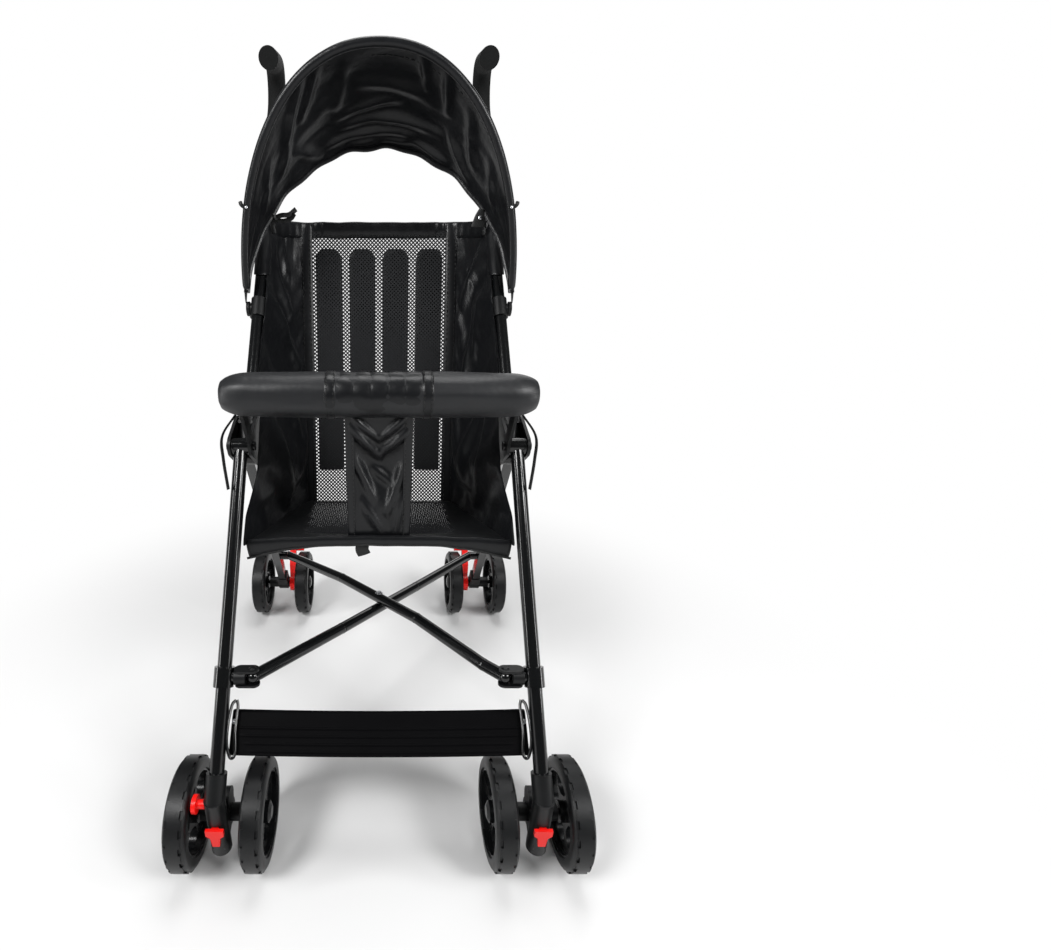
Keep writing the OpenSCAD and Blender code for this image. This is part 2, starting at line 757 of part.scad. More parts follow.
// Rod of one bumper half with its hinge eye
module bumper_arm(side) {
    color("#202123") on_side(side) difference() {
        union() {
            translate([(bumper_pivot[0] + bumper_rod_end) / 2, bumper_pivot[1], bumper_pivot[2]])
                x_cylinder(bumper_rod_r, bumper_pivot[0] - bumper_rod_end);
            at_bumper_hinge() cylinder(r = bumper_eye_r, h = bumper_eye_h, center = true);
        }
        at_bumper_hinge() cylinder(r = bumper_pin_r + run_gap, h = 2 * bumper_eye_h, center = true);
    }
}

// Padded cover of one bumper half: a crowned roll with a rounded end, hollow round the rod and the hinge
module bumper_pad(side) {
    r = bumper_d / 2;
    end_round = r * 2 / 3;
    color("#1d1e20") on_side(side) difference() {
        translate([0, bumper_pivot[1], bumper_pivot[2]]) rotate([0, 90, 0]) rotate_extrude()
            intersection() {
            translate([bumper_rod_r + fit_gap, bumper_split]) square([bumper_d, bumper_half -
                bumper_split]);
            union() {
                translate([0, bumper_split]) square([bumper_waist_r, bumper_half - bumper_split -
                    end_round]);
                translate([0, bumper_split]) square([r - end_round, bumper_half - bumper_split]);
                translate([r - end_round, bumper_half - end_round]) circle(end_round);
                translate([r - bumper_half, bumper_half / 2]) circle(bumper_half, $fn = 96);
            }
        }
        translate([(bumper_cavity_from + bumper_cavity_to) / 2, bumper_pivot[1], bumper_pivot[2]])
            x_cylinder(bumper_cavity_r, bumper_cavity_to - bumper_cavity_from);
        x_plate(base_pt[0] - cheek_out - side_gap, base_pt[0] - cheek_in + side_gap) bumper_arm2d(side_gap);
    }
}

// Points of the strap that hangs from the bumper's end and loops to the front leg
function strap_path() = let (a = [bumper_half - bumper_d / 4, -bumper_front, bumper_height - bumper_d / 2
    - seat_gap],
    leg = front_pivot + front_leg_dir * strap_leg_reach, b = leg + [tube_r + strap_r + seat_gap, 0, 0])
    [for (i = [0 : strap_rings]) let (s = i / strap_rings) a + (b - a) * s + [strap_bow * sin(180 * s),
        0, 0]];

module bumper_strap(side) {
    color("#151617") on_side(side) swept_bar(strap_path(), strap_r, strap_sides);
}

// Ribbed strip between the front legs, tilted towards the feet
module footrest() {
    color("#1c1d1f") translate([0, footrest_pt[1] + footrest_set_back, footrest_pt[2]])
        rotate([footrest_slope, 0, 0]) union() {
            translate([-footrest_half, 0, 0]) cube([2 * footrest_half, footrest_depth, footrest_t]);
            for (k = [1 : footrest_rib_count]) translate([-footrest_half,
                footrest_depth * k / (footrest_rib_count + 1) - footrest_rib_w / 2, footrest_t])
                cube([2 * footrest_half, footrest_rib_w, footrest_rib_t]);
        }
}

module hood_clip(side) {
    color("#202123") on_side(side) difference() {
        union() {
            along(hood_pt, head) translate([0, 0, -clip_len / 2]) cylinder(r = clip_r, h = clip_len);
            translate(hood_pt + [clip_reach / 2, 0, 0]) x_cylinder(clip_boss_r, clip_reach);
            translate(hood_pt + [(clip_reach + hood_pin_len) / 2, 0, 0])
                x_cylinder(hood_pin_r, clip_reach + hood_pin_len);
        }
        along(hood_pt, head) translate([0, 0, -clip_len]) cylinder(r = tube_r + fit_gap, h = 2 * clip_len);
    }
}

module hood_hub(side) {
    color("#202123") on_side(side) translate([hood_half, hood_pt[1], hood_pt[2]]) difference() {
        x_cylinder(hood_hub_r, hood_hub_t);
        x_cylinder(hood_pin_r + run_gap, hood_hub_t + overrun);
    }
}

// Value of the hood at an angle above the front horizon, between its rear and its front edge
function hood_mix(rear, front, a) = mix(rear, front,
    (a - hood_rear_angle) / (hood_front_angle - hood_rear_angle));

// Point of the hood: u runs over the arch from left to right, a is the angle of its plane
function hood_point(u, a, inset) = let (c = cos(180 * u),
    power = 2 / hood_mix(hood_rear_square, hood_front_square, a),
    reach = hood_mix(hood_rear_reach, hood_front_reach, a) - inset - hood_start,
    r = hood_start + reach * pow(sin(180 * u), power))
    [-sign(c) * pow(abs(c), power) * (hood_half - inset), hood_pt[1] + r * cos(a), hood_pt[2] + r * sin(a)];

module hood_cloth() {
    lift = hood_hub_t / 2 + seat_gap + hood_t;
    angle_at = [for (j = [0 : hood_row_count]) mix(hood_front_angle, hood_rear_angle, j / hood_row_count)];
    outer = [for (a = angle_at) [for (i = [0 : hood_col_count]) hood_point(i / hood_col_count, a, -lift)]];
    inner = [for (a = angle_at) [for (i = [0 : hood_col_count])
        hood_point(i / hood_col_count, a, hood_t - lift)]];
    color("#151618") shell(outer, inner);
}

// Closed shell between two grids of the same size
module shell(outer, inner) {
    rows = len(outer);
    cols = len(outer[0]);
    count = rows * cols;
    cells = [for (i = [0 : rows - 2]) for (j = [0 : cols - 2]) i * cols + j];
    upper = [for (c = cells) each [[c, c + cols, c + 1], [c + 1, c + cols, c + cols + 1]]];
    lower = [for (f = upper) [f[0] + count, f[2] + count, f[1] + count]];
    rim = concat([for (j = [0 : cols - 1]) j], [for (i = [1 : rows - 1]) i * cols + cols - 1],
        [for (j = [cols - 2 : -1 : 0]) (rows - 1) * cols + j], [for (i = [rows - 2 : -1 : 1]) i * cols]);
    wall = [for (k = [0 : len(rim) - 1]) let (a = rim[k], b = rim[(k + 1) % len(rim)])
        each [[a, b, b + count], [a, b + count, a + count]]];
    polyhedron(concat([for (row = outer) each row], [for (row = inner) each row]), concat(upper, lower,
        wall), 8);
}

// Wire bow in the hood's front edge
module hood_bow() {
    color("#101112") swept_bar([for (i = [0 : bow_rings])
        hood_point(mix(bow_first_share, 1 - bow_first_share, i / bow_rings), hood_front_angle, bow_inset)],
        bow_r, bow_sides);
}

// Catch with a hooked end, in front of the left push tube; its hook faces the other tube
module storage_catch() {
    bend = [-catch_w / 3, catch_len - catch_w];
    tip = [-catch_w, catch_len];
    color("#e0140f") on_side(-1) along(tube_at(catch_z), head)
        translate([0, -tube_r - catch_boss_len - seat_gap, 0]) rotate([90, 0, 0]) linear_extrude(catch_t)
            difference() {
            union() {
                slot2d([0, 0], bend, catch_w / 2);
                slot2d(bend, tip, catch_w / 2);
            }
            circle(catch_pin_r + run_gap);
            translate([-catch_w - catch_hook_r / 2, catch_len - catch_w]) circle(catch_hook_r);
        }
}

module crotch_strap() {
    top = bumper_height - bumper_waist_r - 2 * seat_gap - band_t;
    low = seat_front_height + cloth_t + seat_gap;
    color("#1a1b1d") {
        x_plate(-strap_w / 2, strap_w / 2) polygon([[-seat_front + strap_t, low], [-seat_front + 2 *
            strap_t, low],
            [-bumper_front + strap_t, top], [-bumper_front, top]]);
        translate([0, -bumper_front, bumper_height]) difference() {
            x_cylinder(bumper_waist_r + seat_gap + band_t, band_w);
            x_cylinder(bumper_waist_r + seat_gap, band_w + overrun);
        }
    }
}

// Front edge of a wing at height z: along the push tube, clear of the bracket and the hood clip
wing_limit = base_pt[0] - cheek_out - seat_gap - cloth_t / 2;
function wing_front(z) = let (p = tube_at(z)) [min(p[0] - tube_r - seat_gap - cloth_t / 2 - wing_notch *
    max(0, 1 - abs(z - hood_pivot_height) / wing_notch_reach), wing_limit), p[1], z];
function wing_back(s) = [back_w / 2 + cloth_t / 2 + seat_gap, mix(seat_rear, back_top, s),
    mix(seat_rear_height + cloth_t, back_height, s)];
function wing_wave(u, s) = -wing_fold * sin(180 * s) * pow(sin(180 * wing_folds * u), 2);

// Sling seat: a sagging base, a back panel and two wings that reach to the push tubes
module seat_cloth() {
    base_half = front_leg_at(seat_front_height)[0] - tube_r - seat_gap;
    color("#1a1b1d") {
        sheet([for (i = [0 : sheet_along]) let (s = i / sheet_along)
            [for (j = [0 : sheet_across]) let (u = 2 * j / sheet_across - 1)
                [u * mix(base_half, back_w / 2, s),
                    mix(-seat_front - front_curve * u * u, seat_rear - cloth_t / 2 - seat_gap, s),
                    mix(seat_front_height, seat_rear_height, s) - base_sag * sin(180 * s) * (1 - u * u)]]],
            [0, 0, cloth_t]);
        sheet([for (i = [0 : sheet_along]) let (s = i / sheet_along)
            [for (j = [0 : sheet_across]) let (u = 2 * j / sheet_across - 1)
                [u * back_w / 2, mix(seat_rear, back_top, s) + back_sag * sin(180 * s) * (1 - u * u),
                    mix(seat_rear_height, back_height, s)]]], [0, -cloth_t, 0]);
        for (side = [-1, 1]) on_side(side) sheet([for (i = [0 : sheet_along]) let (s = i / sheet_along,
            z = mix(seat_front_height + cloth_t, back_height, s))
            [for (j = [0 : sheet_across]) let (u = j / sheet_across)
                mix(wing_back(s), wing_front(z), u) + [wing_wave(u, s), 0, 0]]], [-cloth_t, 0, 0]);
    }
}

push_tube(-1);  // push_tube_l
push_tube(1);  // push_tube_r
grip(-1);  // grip_l
grip(1);  // grip_r
bracket(-1);  // bracket_l
bracket(1);  // bracket_r
pivot_bolts(-1);  // pivot_bolts_l
pivot_bolts(1);  // pivot_bolts_r
hood_clip(-1);  // hood_clip_l
hood_clip(1);  // hood_clip_r
bumper_strap(-1);  // bumper_strap_l
bumper_strap(1);  // bumper_strap_r
front_leg(-1);  // front_leg_l
front_leg(1);  // front_leg_r
front_socket(-1);  // front_socket_l
front_socket(1);  // front_socket_r
cross_knuckle(-1);  // cross_knuckle_l
cross_knuckle(1);  // cross_knuckle_r
footrest();
release_tab(-1);  // release_tab_l
release_tab(1);  // release_tab_r
swivel_knob(-1);  // swivel_knob_l
front_fork(-1);  // front_fork_l
front_fork(1);  // front_fork_r
tyre(-swivel_x - pair_width / 2, front_axle_y);  // tyre_front_l_out
tyre(-swivel_x + pair_width / 2, front_axle_y);  // tyre_front_l_in
tyre(swivel_x - pair_width / 2, front_axle_y);  // tyre_front_r_in
tyre(swivel_x + pair_width / 2, front_axle_y);  // tyre_front_r_out
rim(-swivel_x - pair_width / 2, front_axle_y, -1);  // rim_front_l_out
rim(-swivel_x + pair_width / 2, front_axle_y, 1);  // rim_front_l_in
rim(swivel_x - pair_width / 2, front_axle_y, -1);  // rim_front_r_in
rim(swivel_x + pair_width / 2, front_axle_y, 1);  // rim_front_r_out
tyre(-rear_x - pair_width / 2, rear_axle_y);  // tyre_rear_l_out
tyre(-rear_x + pair_width / 2, rear_axle_y);  // tyre_rear_l_in
tyre(rear_x - pair_width / 2, rear_axle_y);  // tyre_rear_r_in
tyre(rear_x + pair_width / 2, rear_axle_y);  // tyre_rear_r_out
rim(-rear_x - pair_width / 2, rear_axle_y, -1);  // rim_rear_l_out
rim(-rear_x + pair_width / 2, rear_axle_y, 1);  // rim_rear_l_in
rim(rear_x - pair_width / 2, rear_axle_y, -1);  // rim_rear_r_in
rim(rear_x + pair_width / 2, rear_axle_y, 1);  // rim_rear_r_out
rear_leg(-1);  // rear_leg_l
rear_leg(1);  // rear_leg_r
rear_foot_piece(-1);  // rear_foot_l
rear_foot_piece(1);  // rear_foot_r
brake_pedal(-1);  // brake_pedal_l
brake_pedal(1);  // brake_pedal_r
cross_bolt();
cross_tube(-1);  // cross_tube_l
cross_tube(1);  // cross_tube_r
bumper_arm(-1);  // bumper_arm_l
bumper_arm(1);  // bumper_arm_r
bumper_pad(-1);  // bumper_pad_l
bumper_pad(1);  // bumper_pad_r
seat_cloth();
crotch_strap();
hood_cloth();
hood_bow();
hood_hub(-1);  // hood_hub_l
hood_hub(1);  // hood_hub_r
storage_catch();
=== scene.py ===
"""Cloth, finishes and stage of a folding umbrella stroller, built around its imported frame."""

import json
import math
from contextlib import contextmanager

import bmesh
import bpy
from bpy.props import FloatProperty, FloatVectorProperty, IntProperty, PointerProperty, StringProperty
from mathutils import Vector, noise
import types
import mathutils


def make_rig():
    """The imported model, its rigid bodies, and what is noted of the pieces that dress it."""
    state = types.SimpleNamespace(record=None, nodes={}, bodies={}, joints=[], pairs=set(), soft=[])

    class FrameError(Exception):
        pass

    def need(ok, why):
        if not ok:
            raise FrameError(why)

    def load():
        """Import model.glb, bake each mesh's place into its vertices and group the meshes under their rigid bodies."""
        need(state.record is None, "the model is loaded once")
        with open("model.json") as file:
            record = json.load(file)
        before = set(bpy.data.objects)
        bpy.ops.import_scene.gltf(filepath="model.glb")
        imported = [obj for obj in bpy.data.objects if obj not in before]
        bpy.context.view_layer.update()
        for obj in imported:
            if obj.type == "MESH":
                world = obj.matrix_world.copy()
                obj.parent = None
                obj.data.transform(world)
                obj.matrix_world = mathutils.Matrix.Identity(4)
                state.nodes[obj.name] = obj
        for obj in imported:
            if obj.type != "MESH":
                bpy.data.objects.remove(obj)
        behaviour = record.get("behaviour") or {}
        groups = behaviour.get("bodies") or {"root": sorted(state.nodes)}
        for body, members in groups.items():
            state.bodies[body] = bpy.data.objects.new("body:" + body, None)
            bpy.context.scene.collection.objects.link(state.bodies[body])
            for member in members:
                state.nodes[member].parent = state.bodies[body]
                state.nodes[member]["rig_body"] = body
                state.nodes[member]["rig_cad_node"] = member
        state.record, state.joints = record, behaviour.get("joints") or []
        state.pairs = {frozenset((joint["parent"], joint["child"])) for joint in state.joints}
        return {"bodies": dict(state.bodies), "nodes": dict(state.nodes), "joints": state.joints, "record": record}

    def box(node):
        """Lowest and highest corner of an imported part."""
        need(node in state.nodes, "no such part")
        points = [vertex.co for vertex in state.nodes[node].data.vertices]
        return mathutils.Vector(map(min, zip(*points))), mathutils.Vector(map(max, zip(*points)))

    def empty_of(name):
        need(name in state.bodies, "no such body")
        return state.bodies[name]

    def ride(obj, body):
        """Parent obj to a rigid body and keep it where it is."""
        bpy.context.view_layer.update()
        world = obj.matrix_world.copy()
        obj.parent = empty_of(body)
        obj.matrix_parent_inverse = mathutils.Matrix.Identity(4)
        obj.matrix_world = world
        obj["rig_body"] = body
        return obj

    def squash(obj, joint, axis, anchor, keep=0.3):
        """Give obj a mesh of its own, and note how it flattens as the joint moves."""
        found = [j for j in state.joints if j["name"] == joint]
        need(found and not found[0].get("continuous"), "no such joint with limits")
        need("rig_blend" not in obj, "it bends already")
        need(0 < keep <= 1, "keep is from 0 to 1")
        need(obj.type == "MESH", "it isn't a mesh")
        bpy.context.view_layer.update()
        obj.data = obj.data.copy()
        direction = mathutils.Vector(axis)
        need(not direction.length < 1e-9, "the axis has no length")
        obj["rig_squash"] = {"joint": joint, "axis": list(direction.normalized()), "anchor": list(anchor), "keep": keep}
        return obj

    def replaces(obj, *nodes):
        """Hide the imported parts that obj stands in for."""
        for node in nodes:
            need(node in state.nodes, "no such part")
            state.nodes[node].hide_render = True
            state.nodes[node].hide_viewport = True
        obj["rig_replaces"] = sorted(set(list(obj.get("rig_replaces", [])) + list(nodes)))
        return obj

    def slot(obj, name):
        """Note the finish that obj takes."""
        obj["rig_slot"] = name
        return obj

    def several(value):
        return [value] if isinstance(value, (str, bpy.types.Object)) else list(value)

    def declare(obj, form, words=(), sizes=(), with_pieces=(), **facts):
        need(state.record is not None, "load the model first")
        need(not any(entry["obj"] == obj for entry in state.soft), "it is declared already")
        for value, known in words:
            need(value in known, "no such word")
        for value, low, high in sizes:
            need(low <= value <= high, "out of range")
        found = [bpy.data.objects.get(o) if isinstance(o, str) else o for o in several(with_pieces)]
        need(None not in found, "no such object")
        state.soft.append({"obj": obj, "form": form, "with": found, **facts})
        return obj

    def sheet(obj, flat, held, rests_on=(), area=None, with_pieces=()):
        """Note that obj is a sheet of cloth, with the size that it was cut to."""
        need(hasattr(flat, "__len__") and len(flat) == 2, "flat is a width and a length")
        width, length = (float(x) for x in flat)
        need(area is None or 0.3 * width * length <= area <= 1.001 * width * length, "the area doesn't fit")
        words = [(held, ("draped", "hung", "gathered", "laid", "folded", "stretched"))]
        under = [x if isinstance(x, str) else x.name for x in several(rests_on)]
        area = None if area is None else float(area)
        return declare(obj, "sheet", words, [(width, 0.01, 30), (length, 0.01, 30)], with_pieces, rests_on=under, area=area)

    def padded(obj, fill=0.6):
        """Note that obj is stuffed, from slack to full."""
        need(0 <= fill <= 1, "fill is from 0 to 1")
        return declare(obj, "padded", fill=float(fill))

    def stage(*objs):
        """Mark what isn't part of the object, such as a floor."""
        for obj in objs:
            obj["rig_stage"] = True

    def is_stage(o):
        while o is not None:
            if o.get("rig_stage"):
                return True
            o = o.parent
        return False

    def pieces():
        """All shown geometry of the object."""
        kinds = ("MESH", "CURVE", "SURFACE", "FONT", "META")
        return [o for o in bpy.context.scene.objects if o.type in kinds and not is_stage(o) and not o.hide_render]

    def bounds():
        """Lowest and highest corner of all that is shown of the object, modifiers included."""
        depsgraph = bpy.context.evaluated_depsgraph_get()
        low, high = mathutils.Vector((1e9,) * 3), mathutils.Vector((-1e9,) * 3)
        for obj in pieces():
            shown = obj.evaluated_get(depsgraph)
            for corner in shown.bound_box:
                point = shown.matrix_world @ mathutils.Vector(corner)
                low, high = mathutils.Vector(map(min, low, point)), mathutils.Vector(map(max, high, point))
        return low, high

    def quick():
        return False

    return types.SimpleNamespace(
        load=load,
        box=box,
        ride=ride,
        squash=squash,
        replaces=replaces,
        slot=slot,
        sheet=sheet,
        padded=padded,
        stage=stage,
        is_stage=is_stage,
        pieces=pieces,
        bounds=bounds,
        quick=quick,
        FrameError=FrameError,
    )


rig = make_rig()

bl_info = {
    "name": "Umbrella Stroller",
    "version": (1, 0, 0),
    "blender": (4, 5, 0),
    "location": "View3D > Sidebar > Stroller",
    "description": "Cloth, finishes and stage of a folding umbrella stroller",
    "category": "Add Mesh",
}

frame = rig.load()
CAD_BOX = [list(corner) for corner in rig.bounds()]
MM = 0.001
SIDES = {"l": -1, "r": 1}

# Boxes of the CAD solids that the cloth follows
HUB_LOW, HUB_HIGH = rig.box("hood_hub_r")
HOOD_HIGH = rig.box("hood_cloth")[1]
PAD_LOW, PAD_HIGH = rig.box("bumper_pad_r")
SEAT_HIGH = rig.box("seat_cloth")[1]
REST_LOW, REST_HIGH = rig.box("footrest")
HUB = (HUB_LOW + HUB_HIGH) / 2
PAD_MIDDLE = (PAD_LOW + PAD_HIGH) / 2
PAD_RADIUS = (PAD_HIGH.z - PAD_LOW.z) / 2


def length(name, about, default):
    """A size in metres that a user may change."""
    return FloatProperty(name=name, description=about, default=default, unit="LENGTH")


def angle(name, about, degrees):
    """An angle that a user may change."""
    return FloatProperty(name=name, description=about, default=math.radians(degrees), subtype="ANGLE")


def share(name, about, default):
    """A plain number that a user may change."""
    return FloatProperty(name=name, description=about, default=default)


def place(name, about, default):
    """A point in metres that a user may change."""
    return FloatVectorProperty(name=name, description=about, default=default, size=3, subtype="TRANSLATION")


def colour(name, about, default):
    """A colour as an sRGB hex value."""
    return StringProperty(name=name, description=about, default=default)


class StrollerSizes(bpy.types.PropertyGroup):
    """Sizes of the soft goods, in the frame of the CAD parts."""

    tube_foot: place("Tube foot", "Lower end of the right push tube's line", (0.198, -0.305, 0.120))
    tube_head: place("Tube head", "Upper end of the right push tube's line", (0.160, 0.258, 0.928))
    seat_front: length("Seat front", "Distance of the seat's front hem before the middle", 0.112)
    seat_front_height: length("Seat front height", "Height of the seat's front hem", 0.372)
    seat_rear: length("Seat rear", "Distance of the seat's crease behind the middle", 0.080)
    seat_rear_height: length("Seat rear height", "Height of the seat's crease", 0.345)
    seat_curve: length("Seat curve", "How far the front hem's ends reach forward", 0.012)
    seat_sag: length("Seat sag", "Sag of the seat's base", 0.012)
    back_top: length("Back top", "Distance of the back's top edge behind the middle", 0.186)
    back_width: length("Back width", "Width of the back panel", 0.232)
    back_sag: length("Back sag", "Bow of the back panel", 0.009)
    net_half: length("Net half width", "Half the width of the netting", 0.109)
    net_pitch: length("Net pitch", "Width of one diamond of the netting", 0.0058)
    net_strand: length("Net strand", "Width of a strand of the netting", 0.0020)
    net_depth: length("Net depth", "Thickness of the netting", 0.0008)
    cloth: length("Cloth", "Thickness of the polyester cloth", 0.0012)
    hood_front_angle: angle("Hood front angle", "Angle of the front bow above the front horizon", 95)
    hood_rear_angle: angle("Hood rear angle", "Angle of the rear edge above the front horizon", 66)
    hood_front_square: share("Bow squareness", "Exponent of the bow's arch", 2.2)
    hood_rear_square: share("Rear squareness", "Exponent of the rear edge's arch", 1.95)
    hood_start: length("Hood start", "Reach of the hood's cloth at its pivots", 0.007)
    wing_gap: length("Wing gap", "Distance of a wing's edge from the push tube's middle line", 0.0104)
    wing_notch: length("Wing notch", "How far a wing keeps clear of the hood's clip", 0.0030)
    sleeve_low: length("Sleeve low", "Height from which a sleeve of the seat covers the push tube", 0.700)
    bracket_height: length("Bracket height", "Height of the side brackets' middle", 0.480)
    bumper_band: length("Bumper band", "Width of the pleated band round the bumper", 0.126)
    strap_width: length("Strap width", "Width of the strap between the legs", 0.080)
    fold_keep: share("Fold keep", "Share of the width left when folded", 0.32)
    pleats: IntProperty(name="Pleats", description="Pleats in the bumper's band", default=4)


class StrollerColours(bpy.types.PropertyGroup):
    """Colours of the finishes, as sRGB hex values."""

    coat: colour("Powder coat", "Gloss black coat of the tubes", "#08090a")
    cloth: colour("Polyester", "Black satin polyester", "#0b0c0e")
    # The bumper's colour is the seat's black satin made lighter: painted sheen that stands in for the broad highlight
    # on the roll.
    roll: colour("Bumper polyester", "Satin polyester of the bumper", "#131416")
    # Near black vinyl, made darker still: painted shade for the footrest's tilted face.
    vinyl: colour("Vinyl", "Near black vinyl of the footrest", "#050506")
    net: colour("Netting", "Black knitted netting", "#121315")
    plastic: colour("Moulded plastic", "Black polypropylene", "#0b0c0d")
    rubber: colour("Tyre", "Black foamed rubber", "#0d0e0f")
    red: colour("Red plastic", "Red moulded plastic", "#e3150f")
    steel: colour("Rivets", "Zinc plated steel", "#c6c8cb")
    foam: colour("Foam", "Black foam of the grips", "#0b0c0c")
    tape: colour("Tape", "Black woven tape", "#0a0b0b")
    floor: colour("Floor", "Pale studio floor", "#d9d9d9")


def sizes():
    return bpy.context.scene.stroller_sizes


def hues():
    return bpy.context.scene.stroller_colours


# Finishes


def linear(code):
    """Linear RGBA of an sRGB hex value."""
    parts = [int(code[i : i + 2], 16) / 255 for i in (1, 3, 5)]
    return tuple(c / 12.92 if c <= 0.04045 else ((c + 0.055) / 1.055) ** 2.4 for c in parts) + (1.0,)


def feed(tree, node, links):
    """Feeds a node's sockets, each with a value or from another node's socket."""
    for socket, value in links.items():
        if isinstance(value, bpy.types.NodeSocket):
            tree.links.new(value, node.inputs[socket])
        else:
            node.inputs[socket].default_value = value


def add(tree, kind, links=None, **settings):
    """A node with its settings and what feeds its sockets."""
    made = tree.nodes.new(kind)
    for key, value in settings.items():
        setattr(made, key, value)
    feed(tree, made, links or {})
    return made


def grain_of(tree, where, size, **more):
    """Noise with a grain of that size."""
    links = {"Vector": where, "Scale": 1 / size} | {key.title(): value for key, value in more.items()}
    return add(tree, "ShaderNodeTexNoise", links).outputs["Fac"]


def raised(tree, height, strength, depth, under=None):
    """Normal of a surface raised by a height, over another normal where one is given."""
    links = {"Height": height, "Strength": strength, "Distance": depth} | ({"Normal": under} if under else {})
    return add(tree, "ShaderNodeBump", links).outputs["Normal"]


def between(tree, value, low, high):
    """A value from 0 to 1 spread from low to high."""
    return add(tree, "ShaderNodeMapRange", {"Value": value, "To Min": low, "To Max": high}).outputs["Result"]


def rays(tree, first, *others):
    """1 for rays of the kinds named, and 0 for the rest."""
    path = add(tree, "ShaderNodeLightPath").outputs
    seen = path[f"Is {first} Ray"]
    for kind in others:
        seen = add(tree, "ShaderNodeMath", {0: seen, 1: path[f"Is {kind} Ray"]}, operation="MAXIMUM").outputs[0]
    return seen


def blank_material(name):
    """An empty material with its Principled shader and the coordinates of the object."""
    found = bpy.data.materials.new(name)
    found.use_nodes = True
    tree = found.node_tree
    return found, tree, tree.nodes["Principled BSDF"], add(tree, "ShaderNodeTexCoord").outputs["Object"]


def mottled(tree, where, code, grain, lighter):
    """Colour that drifts between a hex value and a slightly lighter one over patches of the grain's size."""
    patches = grain_of(tree, where, grain, detail=3.0)
    dark = linear(code)
    light = tuple(min(1.0, c * lighter) for c in dark[:3]) + (1.0,)
    tint = add(tree, "ShaderNodeMix", {"Factor": patches, "A": dark, "B": light}, data_type="RGBA")
    return tint.outputs["Result"]


def along_cloth(tree):
    """The piece's own UV map, in metres."""
    return add(tree, "ShaderNodeUVMap", uv_map="cloth").outputs["UV"]


def ribs(tree, along, width, way, distortion=0.0):
    """Ribs of that width across one way of the cloth."""
    links = {"Vector": along, "Scale": 1 / (width * 20), "Distortion": distortion}
    return add(tree, "ShaderNodeTexWave", links, bands_direction=way).outputs["Fac"]


def painted_tube_steel():
    """Powder coated steel tube, sprayed and baked: deep gloss with a faint orange peel."""
    found, tree, shader, where = blank_material("powder_coated_steel")
    peel = grain_of(tree, where, 2.5 * MM, detail=2.0)
    feed(tree, shader, {
        "Base Color": mottled(tree, where, hues().coat, 60 * MM, 1.35),
        "Roughness": between(tree, peel, 0.1, 0.2),
        "Normal": raised(tree, peel, 0.04, 0.3 * MM),
        "IOR": 1.52,
        "Specular IOR Level": 0.4,
        "Coat Weight": 0.2,
        "Coat Roughness": 0.08,
    })
    return found


def satin_polyester(name, code, rough_low, rough_high, gloss):
    """Coated plain-weave polyester: satin sheen, fine threads and soft creases. Threads are drawn coarse to show."""
    found, tree, shader, where = blank_material(name)
    thread = 1.4 * MM
    along = along_cloth(tree)
    warp, weft = (ribs(tree, along, thread, way, 0.3) for way in ("X", "Y"))
    weave = add(tree, "ShaderNodeMath", {0: warp, 1: weft}, operation="MULTIPLY").outputs["Value"]
    crease = grain_of(tree, where, 16 * MM, detail=4.0, distortion=1.2)
    feed(tree, shader, {
        "Base Color": mottled(tree, where, code, 45 * MM, 1.5),
        "Roughness": between(tree, crease, rough_low, rough_high),
        "Normal": raised(tree, crease, 0.1, 3 * MM, raised(tree, weave, 0.16, 0.3 * MM)),
        "Specular IOR Level": gloss,
        "Sheen Weight": 0.03,
        "Sheen Roughness": 0.45,
    })
    return found


def knitted_net():
    """Knitted polyester netting: dull black yarn."""
    found, tree, shader, where = blank_material("knitted_net")
    yarn = grain_of(tree, where, 0.8 * MM, detail=2.0)
    feed(tree, shader, {
        "Base Color": mottled(tree, where, hues().net, 8 * MM, 1.8),
        "Normal": raised(tree, yarn, 0.4, 0.3 * MM),
        "Roughness": 0.7,
        "Specular IOR Level": 0.3,
    })
    return found


def moulded(name, code, rough_low, rough_high, grain, strength, gloss=0.32):
    """Injection moulded plastic: a fine spark-eroded grain and slightly uneven gloss."""
    found, tree, shader, where = blank_material(name)
    pits = grain_of(tree, where, grain, detail=3.0)
    flow = grain_of(tree, where, 25 * MM, detail=1.0)
    feed(tree, shader, {
        "Base Color": mottled(tree, where, code, 30 * MM, 1.25),
        "Roughness": between(tree, flow, rough_low, rough_high),
        "Normal": raised(tree, pits, strength, 0.4 * MM),
        "IOR": 1.49,
        "Specular IOR Level": gloss,
    })
    return found


def calendered_vinyl_painted_shade():
    """Calendered vinyl sheet of the footrest: near black, made darker still as painted shade for the tilted strip, with
    a dull skin and a faint pebble.
    """
    return moulded("calendered_vinyl_painted_shade", hues().vinyl, 0.42, 0.56, 1.5 * MM, 0.12, gloss=0.04)


def plated_steel():
    """Zinc plated steel of the rivets: bright, with fine turning marks."""
    found, tree, shader, where = blank_material("plated_steel")
    marks = grain_of(tree, where, 1.5 * MM, detail=2.0)
    feed(tree, shader, {
        "Base Color": mottled(tree, where, hues().steel, 5 * MM, 1.08),
        "Roughness": between(tree, marks, 0.18, 0.38),
        "Metallic": 1.0,
    })
    return found


def closed_cell_foam():
    """Closed-cell foam of the grips: matt, with open-pored skin."""
    found, tree, shader, where = blank_material("closed_cell_foam")
    cells = add(tree, "ShaderNodeTexVoronoi", {"Vector": where, "Scale": 1 / (1.6 * MM)}).outputs["Distance"]
    feed(tree, shader, {
        "Base Color": mottled(tree, where, hues().foam, 20 * MM, 1.5),
        "Normal": raised(tree, cells, 0.35, 0.5 * MM),
        "Roughness": 0.82,
        "Specular IOR Level": 0.2,
    })
    return found


